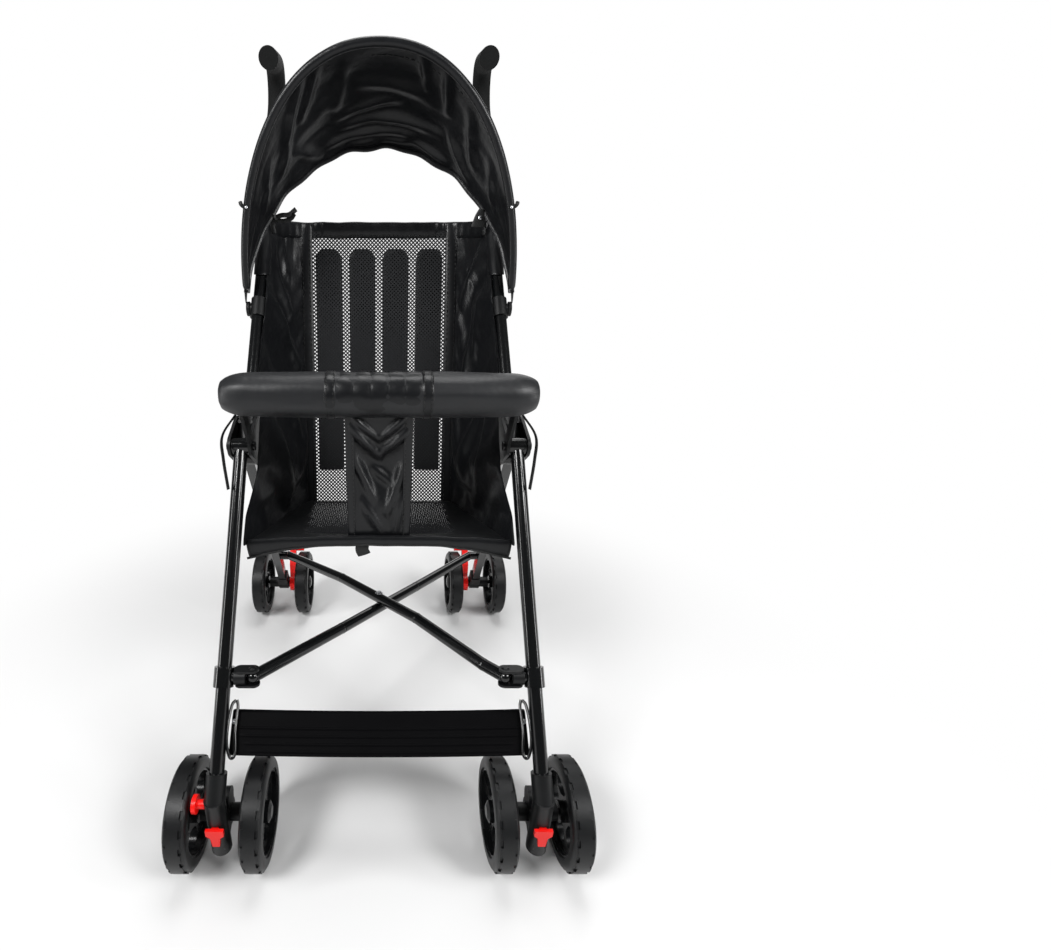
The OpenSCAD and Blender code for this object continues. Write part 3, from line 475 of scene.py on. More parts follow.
def woven_tape():
    """Woven polypropylene tape: cross ribs and a dull sheen."""
    found, tree, shader, where = blank_material("woven_tape")
    feed(tree, shader, {
        "Base Color": mottled(tree, where, hues().tape, 12 * MM, 1.6),
        "Normal": raised(tree, ribs(tree, along_cloth(tree), 1.6 * MM, "Y"), 0.5, 0.5 * MM),
        "Roughness": 0.6,
    })
    return found


MATERIALS = {}


def finish(key):
    """The finish of that name, made once."""
    makers = {
        "coat": painted_tube_steel,
        "seat": lambda: satin_polyester("seat_polyester", hues().cloth, 0.26, 0.38, 0.32),
        "hood": lambda: satin_polyester("hood_polyester", hues().cloth, 0.28, 0.4, 0.3),
        # The bumper's satin takes a lighter colour than the seat's, as painted sheen.
        "bumper": lambda: satin_polyester("bumper_polyester", hues().roll, 0.38, 0.48, 0.4),
        "sheet": calendered_vinyl_painted_shade,
        "net": knitted_net,
        "plastic": lambda: moulded("grained_polypropylene", hues().plastic, 0.34, 0.48, 0.9 * MM, 0.2),
        "rim": lambda: moulded("polished_polypropylene", hues().plastic, 0.2, 0.32, 1.2 * MM, 0.08),
        "rubber": lambda: moulded("foamed_rubber", hues().rubber, 0.32, 0.5, 2.2 * MM, 0.18),
        "red": lambda: moulded("red_polypropylene", hues().red, 0.24, 0.36, 1.0 * MM, 0.12),
        "steel": plated_steel,
        "foam": closed_cell_foam,
        "tape": woven_tape,
    }
    if key not in MATERIALS:
        MATERIALS[key] = makers[key]()
    return MATERIALS[key]


# Modelling helpers


def only(piece):
    """Makes one object the whole selection."""
    bpy.ops.object.select_all(action="DESELECT")
    piece.select_set(True)
    bpy.context.view_layer.objects.active = piece
    return piece


def modify(piece, kind, **settings):
    """Adds a modifier and applies it."""
    only(piece)
    made = piece.modifiers.new(kind.title(), kind)
    for key, value in settings.items():
        setattr(made, key, value)
    bpy.ops.object.modifier_apply(modifier=made.name)
    return piece


@contextmanager
def editing(piece, selected):
    """Edit mode on one piece, with all or none of it selected at first."""
    only(piece)
    bpy.ops.object.mode_set(mode="EDIT")
    bpy.ops.mesh.select_all(action="SELECT" if selected else "DESELECT")
    yield
    bpy.ops.object.mode_set(mode="OBJECT")


def outward(piece):
    """Merges doubles and turns a closed piece's faces outwards."""
    with editing(piece, True):
        bpy.ops.mesh.remove_doubles(threshold=0.02 * MM)
        bpy.ops.mesh.normals_make_consistent(inside=False)
    return piece


def capped(piece):
    """Fills a bar's open ends."""
    with editing(piece, False):
        bpy.ops.mesh.select_non_manifold(extend=False, use_boundary=True)
        bpy.ops.mesh.fill_holes(sides=0)
    return outward(piece)


def linked(name, mesh):
    """An object of that name for a mesh."""
    piece = bpy.data.objects.new(name, mesh)
    bpy.context.collection.objects.link(piece)
    return piece


def grid(rows, cols, at):
    """Rows of points: at gives the point at the shares s down and u across."""
    return [[at(i / rows, j / cols) for j in range(cols + 1)] for i in range(rows + 1)]


def hoops(rows, around, at):
    """Rows of points that close: at gives the point at the share s along and the angle w round."""
    return [[at(i / rows, 2 * math.pi * j / around) for j in range(around)] for i in range(rows + 1)]


def grid_piece(name, points, closed=False, skip=None):
    """Mesh over rows of points, with a UV map in metres along both ways."""
    rows, cols = len(points), len(points[0])
    wrap = cols if closed else cols - 1
    cells = [(i, j) for i in range(rows - 1) for j in range(wrap) if not (skip and skip(i, j))]
    mesh = bpy.data.meshes.new(name)
    faces = [(i * cols + j, i * cols + (j + 1) % cols, (i + 1) * cols + (j + 1) % cols, (i + 1) * cols + j)
             for i, j in cells]
    mesh.from_pydata([tuple(p) for row in points for p in row], [], faces)
    middle = points[rows // 2]
    across = [0.0]
    for j in range(wrap):
        across.append(across[-1] + (Vector(middle[(j + 1) % cols]) - Vector(middle[j])).length)
    down = [0.0]
    for i in range(rows - 1):
        down.append(down[-1] + (Vector(points[i + 1][cols // 2]) - Vector(points[i][cols // 2])).length)
    layer = mesh.uv_layers.new(name="cloth")
    for face, (i, j) in zip(mesh.polygons, cells):
        for loop, (di, dj) in zip(face.loop_indices, ((0, 0), (0, 1), (1, 1), (1, 0))):
            layer.data[loop].uv = (across[j + dj], down[i + di])
    return linked(name, mesh)


def frames_along(path, up):
    """Tangent, normal and binormal at each point of a path, carried along without twist."""
    count = len(path)
    normal = Vector(up)
    for k, p in enumerate(path):
        tangent = (path[min(k + 1, count - 1)] - path[max(k - 1, 0)]).normalized()
        normal = (normal - tangent * normal.dot(tangent)).normalized()
        yield p, normal, tangent.cross(normal)


def sweep(name, path, section, up=(0, 0, 1), taller=None):
    """Closed bar: a section of (normal, binormal) points carried along a path, with both ends filled.

    taller gives each path point's factor on the normal."""
    path = [Vector(p) for p in path]
    taller = taller or [1.0] * len(path)
    rows = [[p + n * a * f + b * c for a, c in section] for (p, n, b), f in zip(frames_along(path, up), taller)]
    return capped(grid_piece(name, rows, closed=True))


def oval(a, b, count=12):
    """Section of an oval bar, a along the normal and b along the binormal."""
    return [(a * math.cos(t), b * math.sin(t)) for t in (2 * math.pi * k / count for k in range(count))]


def smooth_path(points, steps=8):
    """Catmull-Rom curve through points."""
    pts = [Vector(p) for p in points]
    pts = [2 * pts[0] - pts[1]] + pts + [2 * pts[-1] - pts[-2]]
    out = []
    for k in range(1, len(pts) - 2):
        p0, p1, p2, p3 = pts[k - 1 : k + 3]
        for s in range(steps):
            t = s / steps
            out.append(0.5 * (2 * p1 + (p2 - p0) * t + (2 * p0 - 5 * p1 + 4 * p2 - p3) * t * t
                              + (3 * p1 - p0 - 3 * p2 + p3) * t ** 3))
    return out + [pts[-2]]


def mirrored(p, side):
    return Vector((p[0] * side, p[1], p[2]))


def mix(a, b, t):
    return a + (b - a) * t


def near(spot, offsets, side=1):
    """Points at offsets from a spot in millimetres, with the x of each turned to a side."""
    return [spot + Vector((side * x, y, z)) * MM for x, y, z in offsets]


def drape(piece, held, slack, frames=16):
    """Lets a sheet settle under its own weight, held where the function gives a weight, then applies the result."""
    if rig.quick():
        return piece
    only(piece)
    group = piece.vertex_groups.new(name="held")
    for v in piece.data.vertices:
        group.add([v.index], held(v.index), "REPLACE")
    cloth = piece.modifiers.new("Cloth", "CLOTH")
    rules = cloth.settings
    rules.quality = 8
    rules.mass = 0.1
    rules.tension_stiffness = rules.compression_stiffness = 25
    rules.shear_stiffness = 8
    rules.bending_stiffness = 0.4
    rules.air_damping = 3
    rules.vertex_group_mass = "held"
    rules.shrink_min = -slack
    cloth.collision_settings.use_collision = False
    scene = bpy.context.scene
    for step in range(1, frames + 1):
        scene.frame_set(step)
    bpy.ops.object.modifier_apply(modifier=cloth.name)
    piece.vertex_groups.clear()
    scene.frame_set(1)
    return piece


def creased(u, t, creases, stretch):
    """Height of pulled folds at a point: each runs from (u0, t0) to (u1, t1) and fades out towards its ends."""
    total = 0.0
    for u0, t0, u1, t1, width, height in creases:
        along = Vector(((u1 - u0) * stretch, t1 - t0))
        off = Vector(((u - u0) * stretch, t - t0))
        share = off.dot(along) / along.length_squared
        if 0 < share < 1:
            aside = (off.x * along.y - off.y * along.x) / along.length
            total += height * math.sin(math.pi * share) ** 0.7 * math.exp(-(aside / width) ** 2)
    return total * MM


def declare(piece, points, held, rests_on, going=(), skip=None, closed=False):
    """Says that a piece is a sheet, with the size it was cut to: its longest row and column, and its area."""
    rows = [row + row[:1] if closed else row for row in points]
    span = lambda line: sum((b - a).length for a, b in zip(line, line[1:]))
    wide, long = max(map(span, rows)), max(map(span, zip(*rows)))
    area = 0.0
    for i, (low, top) in enumerate(zip(rows, rows[1:])):
        for j in range(len(low) - 1):
            if not (skip and skip(i, j)):
                area += ((top[j + 1] - low[j]).cross(top[j] - low[j + 1])).length / 2
    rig.sheet(piece, flat=(wide, long), held=held, rests_on=rests_on, area=min(area, wide * long), with_pieces=going)


def rivet(name, spot, facing, radius):
    """Domed rivet head: a disc whose face is inset and raised twice, with its rim rounded."""
    bpy.ops.object.select_all(action="DESELECT")
    bpy.ops.mesh.primitive_cylinder_add(vertices=24, radius=radius, depth=radius * 0.5)
    piece = bpy.context.active_object
    piece.name = name
    for part in (*piece.data.vertices, *piece.data.edges):
        part.select = False
    for face in piece.data.polygons:
        face.select = face.normal.z > 0.9
    bpy.ops.object.mode_set(mode="EDIT")
    for inset, rise in ((0.3, 0.22), (0.3, 0.1)):
        bpy.ops.mesh.inset(thickness=radius * inset)
        bpy.ops.transform.translate(value=(0, 0, radius * rise))
    bpy.ops.object.mode_set(mode="OBJECT")
    modify(piece, "BEVEL", width=radius * 0.1, segments=2)
    piece.rotation_euler = Vector(facing).to_track_quat("Z", "Y").to_euler()
    piece.location = spot
    only(piece)
    bpy.ops.object.transform_apply(location=True, rotation=True, scale=True)
    return piece


def rounded(piece):
    """Rounds a piece by subdivision."""
    return modify(piece, "SUBSURF", levels=1, render_levels=1)


def thicken(piece, depth):
    """Gives a sheet its thickness and rounds it."""
    return rounded(modify(piece, "SOLIDIFY", thickness=depth, offset=0))


def settle(piece, key, body, slot, squashed=None, replaced=()):
    """Gives a finished piece its material, its body, its slot and its part in the fold."""
    piece.data.materials.clear()
    piece.data.materials.append(finish(key))
    only(piece)
    bpy.ops.object.shade_smooth_by_angle(angle=math.radians(40))
    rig.ride(piece, body)
    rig.slot(piece, slot)
    if squashed is not None:
        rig.squash(piece, "fold", axis=(1, 0, 0), anchor=squashed[0], keep=squashed[1])
    if replaced:
        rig.replaces(piece, *replaced)
    return piece


def with_seat(piece, key, slot="seat_cloth", replaced=()):
    """A piece of the sling seat: it rides on the seat and narrows with the fold."""
    return settle(piece, key, "seat", slot, ((0, 0, 0), sizes().fold_keep), replaced)


def stitches(name, path, up, pitch=7 * MM, thread=0.5 * MM):
    """A row of sewn stitches along a path, each a short bar with rounded ends."""
    path = [Vector(p) for p in path]
    marks, travelled = [], 0.0
    for a, b in zip(path, path[1:]):
        gap = (b - a).length
        while travelled <= gap and gap > 0:
            marks.append((a + (b - a) * (travelled / gap), (b - a).normalized()))
            travelled += pitch
        travelled -= gap
    half = pitch * 0.33
    mesh = bmesh.new()
    for p, along in marks:
        side = along.cross(Vector(up)).normalized()
        high = side.cross(along).normalized()
        rings = []
        for t, r in ((-half, 0.45), (-half * 0.6, 1.0), (half * 0.6, 1.0), (half, 0.45)):
            rings.append([mesh.verts.new(p + along * t + (side * math.cos(w) + high * math.sin(w)) * thread * r)
                          for w in (math.pi * k / 3 for k in range(6))])
        for low, top in zip(rings, rings[1:]):
            for k in range(6):
                mesh.faces.new((low[k], low[(k + 1) % 6], top[(k + 1) % 6], top[k]))
        mesh.faces.new(list(reversed(rings[0])))
        mesh.faces.new(rings[-1])
    bmesh.ops.recalc_face_normals(mesh, faces=mesh.faces)
    data = bpy.data.meshes.new(name)
    mesh.to_mesh(data)
    mesh.free()
    data.uv_layers.new(name="cloth")
    return linked(name, data)


# Forms of the seat


def tube_at(z):
    """Point of the right push tube's middle line at a height."""
    foot, head = Vector(sizes().tube_foot), Vector(sizes().tube_head)
    return foot + (head - foot) * ((z - foot.z) / (head.z - foot.z))


def back_point(x, s, behind=0.0):
    """Point of the back panel: s runs from the crease to the top edge."""
    k = sizes()
    u = x / (k.back_width / 2)
    bow = k.back_sag * math.sin(math.pi * s) * (1 - u * u)
    return Vector((x, mix(k.seat_rear, k.back_top, s) + bow + behind, mix(k.seat_rear_height, SEAT_HIGH.z, s)))


def base_point(x, s, above=0.0):
    """Point of the seat's base: s runs from the front hem to the crease."""
    k = sizes()
    half = mix(SEAT_HIGH.x, k.back_width / 2, s)
    u = max(-1.0, min(1.0, x / half))
    sag = k.seat_sag * math.sin(math.pi * s) * (1 - u * u)
    return Vector((x, mix(-k.seat_front - k.seat_curve * u * u, k.seat_rear - 2 * MM, s),
                   mix(k.seat_front_height, k.seat_rear_height, s) - sag + 4 * MM + above))


def wing_point(u, s, side):
    """Point of a side wing: u runs from the back panel to the push tube, s from the base to the top."""
    k = sizes()
    top = SEAT_HIGH.z - 6 * MM * s
    z = mix(k.seat_front_height, top, s)
    tube = tube_at(z)
    lean = (tube_at(1) - tube_at(0)).normalized()
    ahead = Vector((0, -lean.z, lean.y)).normalized()
    inward, forward = 0.8, 0.6
    clip_reach, bracket_reach, bracket_rise, bracket_inset = 25 * MM, 50 * MM, 12 * MM, 17.7 * MM
    clip = k.wing_notch * max(0.0, min(1.0, 1.6 - abs(z - HUB.z) / clip_reach))
    bracket = max(0.0, min(1.0, 1.7 - abs(z - k.bracket_height - bracket_rise) / bracket_reach))
    front = tube + (Vector((-inward, 0, 0)) + forward * ahead) * (k.wing_gap + clip)
    front.x = mix(front.x, min(front.x, tube_at(k.bracket_height).x - bracket_inset), bracket)
    back = Vector((k.back_width / 2 + 2 * MM, mix(k.seat_rear, k.back_top, s), mix(k.seat_rear_height, top, s)))
    return mirrored(back.lerp(front, u), side)


def diamonds(name, half, reach, pitch, place_at):
    """Net of diamond meshes over x in [-half, half] and t in [0, reach], placed by a function of both."""
    step = pitch / 2
    cols, rows = int(2 * half / step), int(reach / step)
    index, points, faces = {}, [], []
    for j in range(rows + 1):
        for i in range(cols + 1):
            if (i + j) % 2 == 0:
                index[i, j] = len(points)
                points.append(place_at(-half + i * step, j * step))
    for j in range(1, rows):
        for i in range(1, cols):
            if (i + j) % 2:
                faces.append([index[c] for c in ((i - 1, j), (i, j - 1), (i + 1, j), (i, j + 1))])
    mesh = bpy.data.meshes.new(name)
    mesh.from_pydata(points, [], faces)
    piece = linked(name, mesh)
    with editing(piece, True):
        bpy.ops.mesh.inset(thickness=sizes().net_strand / 2, depth=0, use_individual=True)
        bpy.ops.mesh.delete(type="FACE")
    return modify(piece, "SOLIDIFY", thickness=sizes().net_depth, offset=0)


class STROLLER_OT_finishes(bpy.types.Operator):
    """Gives every CAD part its finish"""

    bl_idname = "stroller.finishes"
    bl_label = "Finish the frame"

    def execute(self, context):
        by_start = {
            "push_tube": "coat", "front_leg": "coat", "rear_leg": "coat", "cross_tube": "coat", "bumper_arm": "coat",
            "grip": "foam", "tyre": "rubber", "rim": "rim", "release_tab": "red", "swivel_knob": "red",
            "brake_pedal": "red", "storage_catch": "red", "pivot_bolts": "coat", "cross_bolt": "steel",
            "hood_bow": "coat",
        }
        for name, part in frame["nodes"].items():
            key = next((k for start, k in by_start.items() if name.startswith(start)), "plastic")
            part.data.materials.clear()
            part.data.materials.append(finish(key))
        return {"FINISHED"}


class STROLLER_OT_back(bpy.types.Operator):
    """Builds the netting of the back and base, the stiffeners behind it and the bound edges"""

    bl_idname = "stroller.back"
    bl_label = "Back panel"

    def execute(self, context):
        self.net("back_net", back_point, 0.0, 0.975)
        self.net("base_net", base_point, 0.16, 1.0)
        self.stiffeners()
        self.bindings()
        self.top_hem()
        return {"FINISHED"}

    def net(self, name, place_at, first, last):
        """Netting of the back or the base, between two shares of its depth."""
        k = sizes()
        depth = (place_at(0, 1) - place_at(0, 0)).length
        reach = depth * (last - first)
        net = diamonds(name, k.net_half, reach, k.net_pitch, lambda x, t: place_at(x, first + t / depth))
        with_seat(net, "net")
        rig.sheet(net, flat=(2 * k.net_half, reach), held="stretched", rests_on=["seat_base"])

    def stiffeners(self):
        """Four padded strips with rounded tops, sewn behind the netting."""
        width, gap, corner = 41 * MM, 12 * MM, 11 * MM
        behind, crown, depth = 7 * MM, 2.5 * MM, 3 * MM
        low, top = 0.12, 0.915
        height = (back_point(0, 1) - back_point(0, 0)).length
        for n in range(4):
            middle = (n - 1.5) * (width + gap)

            def at(i, j):
                s = mix(low, top, i)
                down = (top - s) * height
                drawn = corner - math.sqrt(max(0.0, corner ** 2 - max(0.0, corner - down) ** 2))
                w = math.pi * (j - 0.5)
                return back_point(middle + (width / 2 - drawn) * math.sin(w), s, behind - crown * math.cos(w))

            strip = thicken(grid_piece(f"back_stiffener_{n + 1}", grid(36, 8, at)), depth)
            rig.padded(with_seat(strip, "seat"), fill=0.3)

    def bindings(self):
        """Tapes that bind the netting to the wings, each with two sewn rows."""
        k = sizes()
        inner, outer = k.net_half - 5 * MM, k.back_width / 2 + 8 * MM
        ahead, crown, depth, sewn = 2 * MM, 1.6 * MM, 1.4 * MM, 4.4 * MM
        first, last = 0.02, 0.95
        for tag, side in SIDES.items():

            def at(s, u):
                return back_point(side * mix(inner, outer, u), s, -ahead - crown * math.sin(math.pi * u))

            with_seat(thicken(grid_piece(f"back_binding_{tag}", grid(40, 6, at)), depth), "seat")
            for n, x in enumerate((inner + 4 * MM, outer - 5 * MM)):
                path = [back_point(side * x, mix(first, last, i / 60), -sewn) for i in range(61)]
                with_seat(stitches(f"back_stitch_{tag}_{n + 1}", path, (0, -1, 0)), "tape")

    def top_hem(self):
        """Rolled hem along the top of the back and wings, slightly gathered."""
        k = sizes()
        drop, tall, thick, flat = 11 * MM, 12 * MM, 3.4 * MM, 60 * MM
        top = SEAT_HIGH.z - drop
        tube = tube_at(top)
        half = [Vector((flat, k.back_top - 4 * MM, top)), Vector((k.back_width / 2, k.back_top - 3 * MM, top)),
                Vector((tube.x - 8 * MM, tube.y - 9 * MM, top))]
        path = smooth_path([mirrored(p, -1) for p in reversed(half)] + half, 14)
        for n, p in enumerate(path):
            p.z += 1.0 * MM * noise.noise(Vector((p.x * 40, 3.1, 0)))
            p.y += 0.8 * MM * math.sin(n * 2.1)
        with_seat(rounded(sweep("back_top_hem", path, oval(tall, thick, 14))), "seat")
        row = [p + Vector((0, -3.8 * MM, -7 * MM)) for p in path[8:-8]]
        with_seat(stitches("back_top_stitch", row, (0, -1, 0)), "tape")


class STROLLER_OT_seat(bpy.types.Operator):
    """Builds the satin wings, their sleeves on the push tubes, and the base with its hem"""

    bl_idname = "stroller.seat"
    bl_label = "Seat cloth"
    # Folds of each wing, from the back panel (u 0) to the tube (u 1) and from the base (0) to the top (1)
    FOLDS = {
        "l": (
            (0.95, 0.97, 0.2, 0.62, 0.035, 8.5), (0.9, 0.78, 0.1, 0.5, 0.03, 10.2),
            (0.7, 0.98, 0.35, 0.8, 0.03, 6.8), (0.95, 0.6, 0.35, 0.36, 0.04, 8.5),
            (0.8, 0.42, 0.3, 0.05, 0.035, 10.2), (0.5, 0.5, 0.1, 0.2, 0.03, 6.8),
        ),
        "r": (
            (0.9, 0.95, 0.15, 0.72, 0.03, 8.5), (0.95, 0.85, 0.3, 0.5, 0.035, 10.2),
            (0.5, 0.75, 0.2, 0.42, 0.03, 8.5), (0.9, 0.55, 0.6, 0.12, 0.035, 10.2),
            (0.6, 0.45, 0.15, 0.1, 0.035, 8.5), (0.85, 0.3, 0.4, 0.04, 0.03, 6.8),
        ),
    }

    def execute(self, context):
        for tag, side in SIDES.items():
            self.wing(tag, side)
            self.sleeve(tag, side)
        self.base()
        self.front_hem()
        return {"FINISHED"}

    def wing(self, tag, side):
        """Side wing, held at the back panel and the push tube and slack between them."""
        rows, cols = 46, 26
        slack, wander = 4 * MM, 5 * MM

        def at(s, u):
            p = wing_point(u, s, side)
            free = math.sin(math.pi * u) * math.sin(math.pi * min(1.0, s * 1.1 + 0.02))
            wave = noise.noise(Vector((u * 2.6 + s * 2.4 + 7 * side, s * 2.0 - u * 3.4, 1.7 * side)))
            p.x -= side * (free * (slack + wander * wave) + creased(u, s, self.FOLDS[tag], 0.6))
            return p

        def held(v):
            i, j = divmod(v, cols + 1)
            return 1.0 if j in (0, cols) or i in (0, rows) else 0.0

        points = grid(rows, cols, at)
        cloth = thicken(drape(grid_piece(f"seat_wing_{tag}", points), held, 0.02), sizes().cloth)
        with_seat(cloth, "seat", replaced=("seat_cloth",) if side < 0 else ())
        declare(cloth, points, "hung", [f"push_tube_{tag}", "seat_base"])

    def sleeve(self, tag, side):
        """Sleeve of the seat's top corner, drawn over the push tube."""
        k = sizes()
        top, ease, wander, deeper = SEAT_HIGH.z - 2 * MM, 0.8 * MM, 0.9 * MM, 1.15

        def at(s, w):
            middle = tube_at(mix(k.sleeve_low, top, s))
            wave = noise.noise(Vector((math.cos(w) * 1.3, math.sin(w) * 1.3, middle.z * 38 + 5 * side)))
            r = k.wing_gap + ease + wander * wave
            return mirrored(middle + Vector((r * math.cos(w), deeper * r * math.sin(w), 0)), side)

        points = hoops(26, 28, at)
        sleeve = thicken(outward(grid_piece(f"seat_sleeve_{tag}", points, closed=True)), k.cloth)
        settle(sleeve, "seat", f"side_{tag}", "seat_cloth")
        declare(sleeve, points, "stretched", [f"push_tube_{tag}"], closed=True)

    def base(self):
        """Sling base round its netting."""
        k = sizes()
        rows, cols = 24, 48
        rear, net_edge, first, last = k.back_width / 2 + 6 * MM, k.net_half - 4 * MM, 0.2, 0.96
        points = grid(rows, cols, lambda s, u: base_point(mix(SEAT_HIGH.x, rear, s) * (2 * u - 1), s))

        def netted(i, j):
            x = abs(points[i][j].x + points[i][j + 1].x) / 2
            return x < net_edge and first < (i + 0.5) / rows < last

        cloth = grid_piece("seat_base", points, skip=netted)
        with editing(cloth, True):
            bpy.ops.mesh.delete_loose()
        with_seat(thicken(cloth, 2 * k.cloth), "seat")
        declare(cloth, points, "hung", ["front_leg_l", "front_leg_r"], skip=netted)

    def front_hem(self):
        """Rolled front hem with its piping, and the small tab under it."""
        half, depth, thick, cord = SEAT_HIGH.x - 2 * MM, 8 * MM, 4.4 * MM, 1.7 * MM
        end_share, end_depth = 0.45, 7 * MM
        path, taller, piping = [], [], []
        for j in range(81):
            u = 2 * j / 80 - 1
            deep = depth + end_depth * max(0.0, (abs(u) - end_share) / (1 - end_share)) ** 1.5
            p = base_point(half * u, 0.0, 6 * MM - deep)
            p.z += 0.9 * MM * noise.noise(Vector((u * 6, 8.2, 0)))
            p.y += 0.8 * MM * noise.noise(Vector((u * 9, 2.2, 0)))
            path.append(p)
            taller.append(deep / depth)
            piping.append(p + Vector((0, -3 * MM, 3 * MM - deep)))
        with_seat(rounded(sweep("seat_front_hem", path, oval(depth, thick, 14), taller=taller)), "seat")
        with_seat(sweep("seat_piping", piping, oval(cord, cord, 8)), "tape")
        knots = near(base_point(-22 * MM, 0.0, -7 * MM), ((0, 2, 0), (-1, 1, -9), (2, 3, -18)))
        with_seat(sweep("seat_tab", smooth_path(knots, 6), oval(1.2 * MM, 9 * MM, 12), up=(0, 1, 0)), "tape")


class STROLLER_OT_strap(bpy.types.Operator):
    """Builds the strap between the legs with its bound edges"""

    bl_idname = "stroller.strap"
    bl_label = "Leg strap"
    # Folds across the strap (u -1 to 1), from the bumper (0) to the seat (1): two hanging points and soft waves
    FOLDS = (
        (-0.85, 0.0, 0.06, 0.2, 0.03, 8), (0.85, 0.0, -0.06, 0.2, 0.03, 8),
        (-0.95, 0.06, 0.12, 0.36, 0.045, 10), (0.95, 0.1, -0.05, 0.33, 0.04, 9),
        (-0.85, 0.3, -0.1, 0.7, 0.055, 8), (0.85, 0.36, 0.2, 0.82, 0.06, 8),
        (-0.6, 0.66, 0.2, 0.98, 0.05, 6), (0.75, 0.62, 0.5, 0.98, 0.05, 6), (-0.3, 0.42, 0.5, 0.56, 0.04, 5),
    )

    def execute(self, context):
        half = sizes().strap_width / 2
        top = Vector((0, PAD_MIDDLE.y - 6 * MM, PAD_MIDDLE.z - PAD_RADIUS + 4 * MM))
        low = base_point(0, 0.03, 3 * MM)
        depth, hollow_depth, ripple_height = 2 * MM, 16 * MM, 1 * MM

        def at(s, across):
            u = 2 * across - 1
            hollow = hollow_depth * (1 - u * u) * math.sin(math.pi * min(1, s * 1.25)) ** 2
            ripple = ripple_height * noise.noise(Vector((u * 1.4, s * 4.2, 5.5))) * (1 - u ** 4)
            return top.lerp(low, s) + Vector((u * half, hollow - creased(u, s, self.FOLDS, 0.45) + ripple, 0))

        points = grid(64, 36, at)
        strap = with_seat(thicken(grid_piece("leg_strap", points), depth), "seat", replaced=("crotch_strap",))
        going = []
        for tag, side in SIDES.items():
            edge = [row[-1 if side > 0 else 0] + Vector((-side * 4 * MM, -0.6 * MM, 0)) for row in points]
            bar = sweep(f"leg_strap_binding_{tag}", edge, oval(2 * MM, 5.5 * MM, 12), up=(0, -1, 0))
            row = [p + Vector((-side * 3.4 * MM, -2 * MM, 0)) for p in edge]
            sewn = stitches(f"leg_strap_stitch_{tag}", row, (0, -1, 0), 6 * MM)
            going += [with_seat(bar, "seat"), with_seat(sewn, "tape")]
        declare(strap, points, "hung", ["bumper_arm_l", "bumper_arm_r", "seat_base"], going)
        return {"FINISHED"}


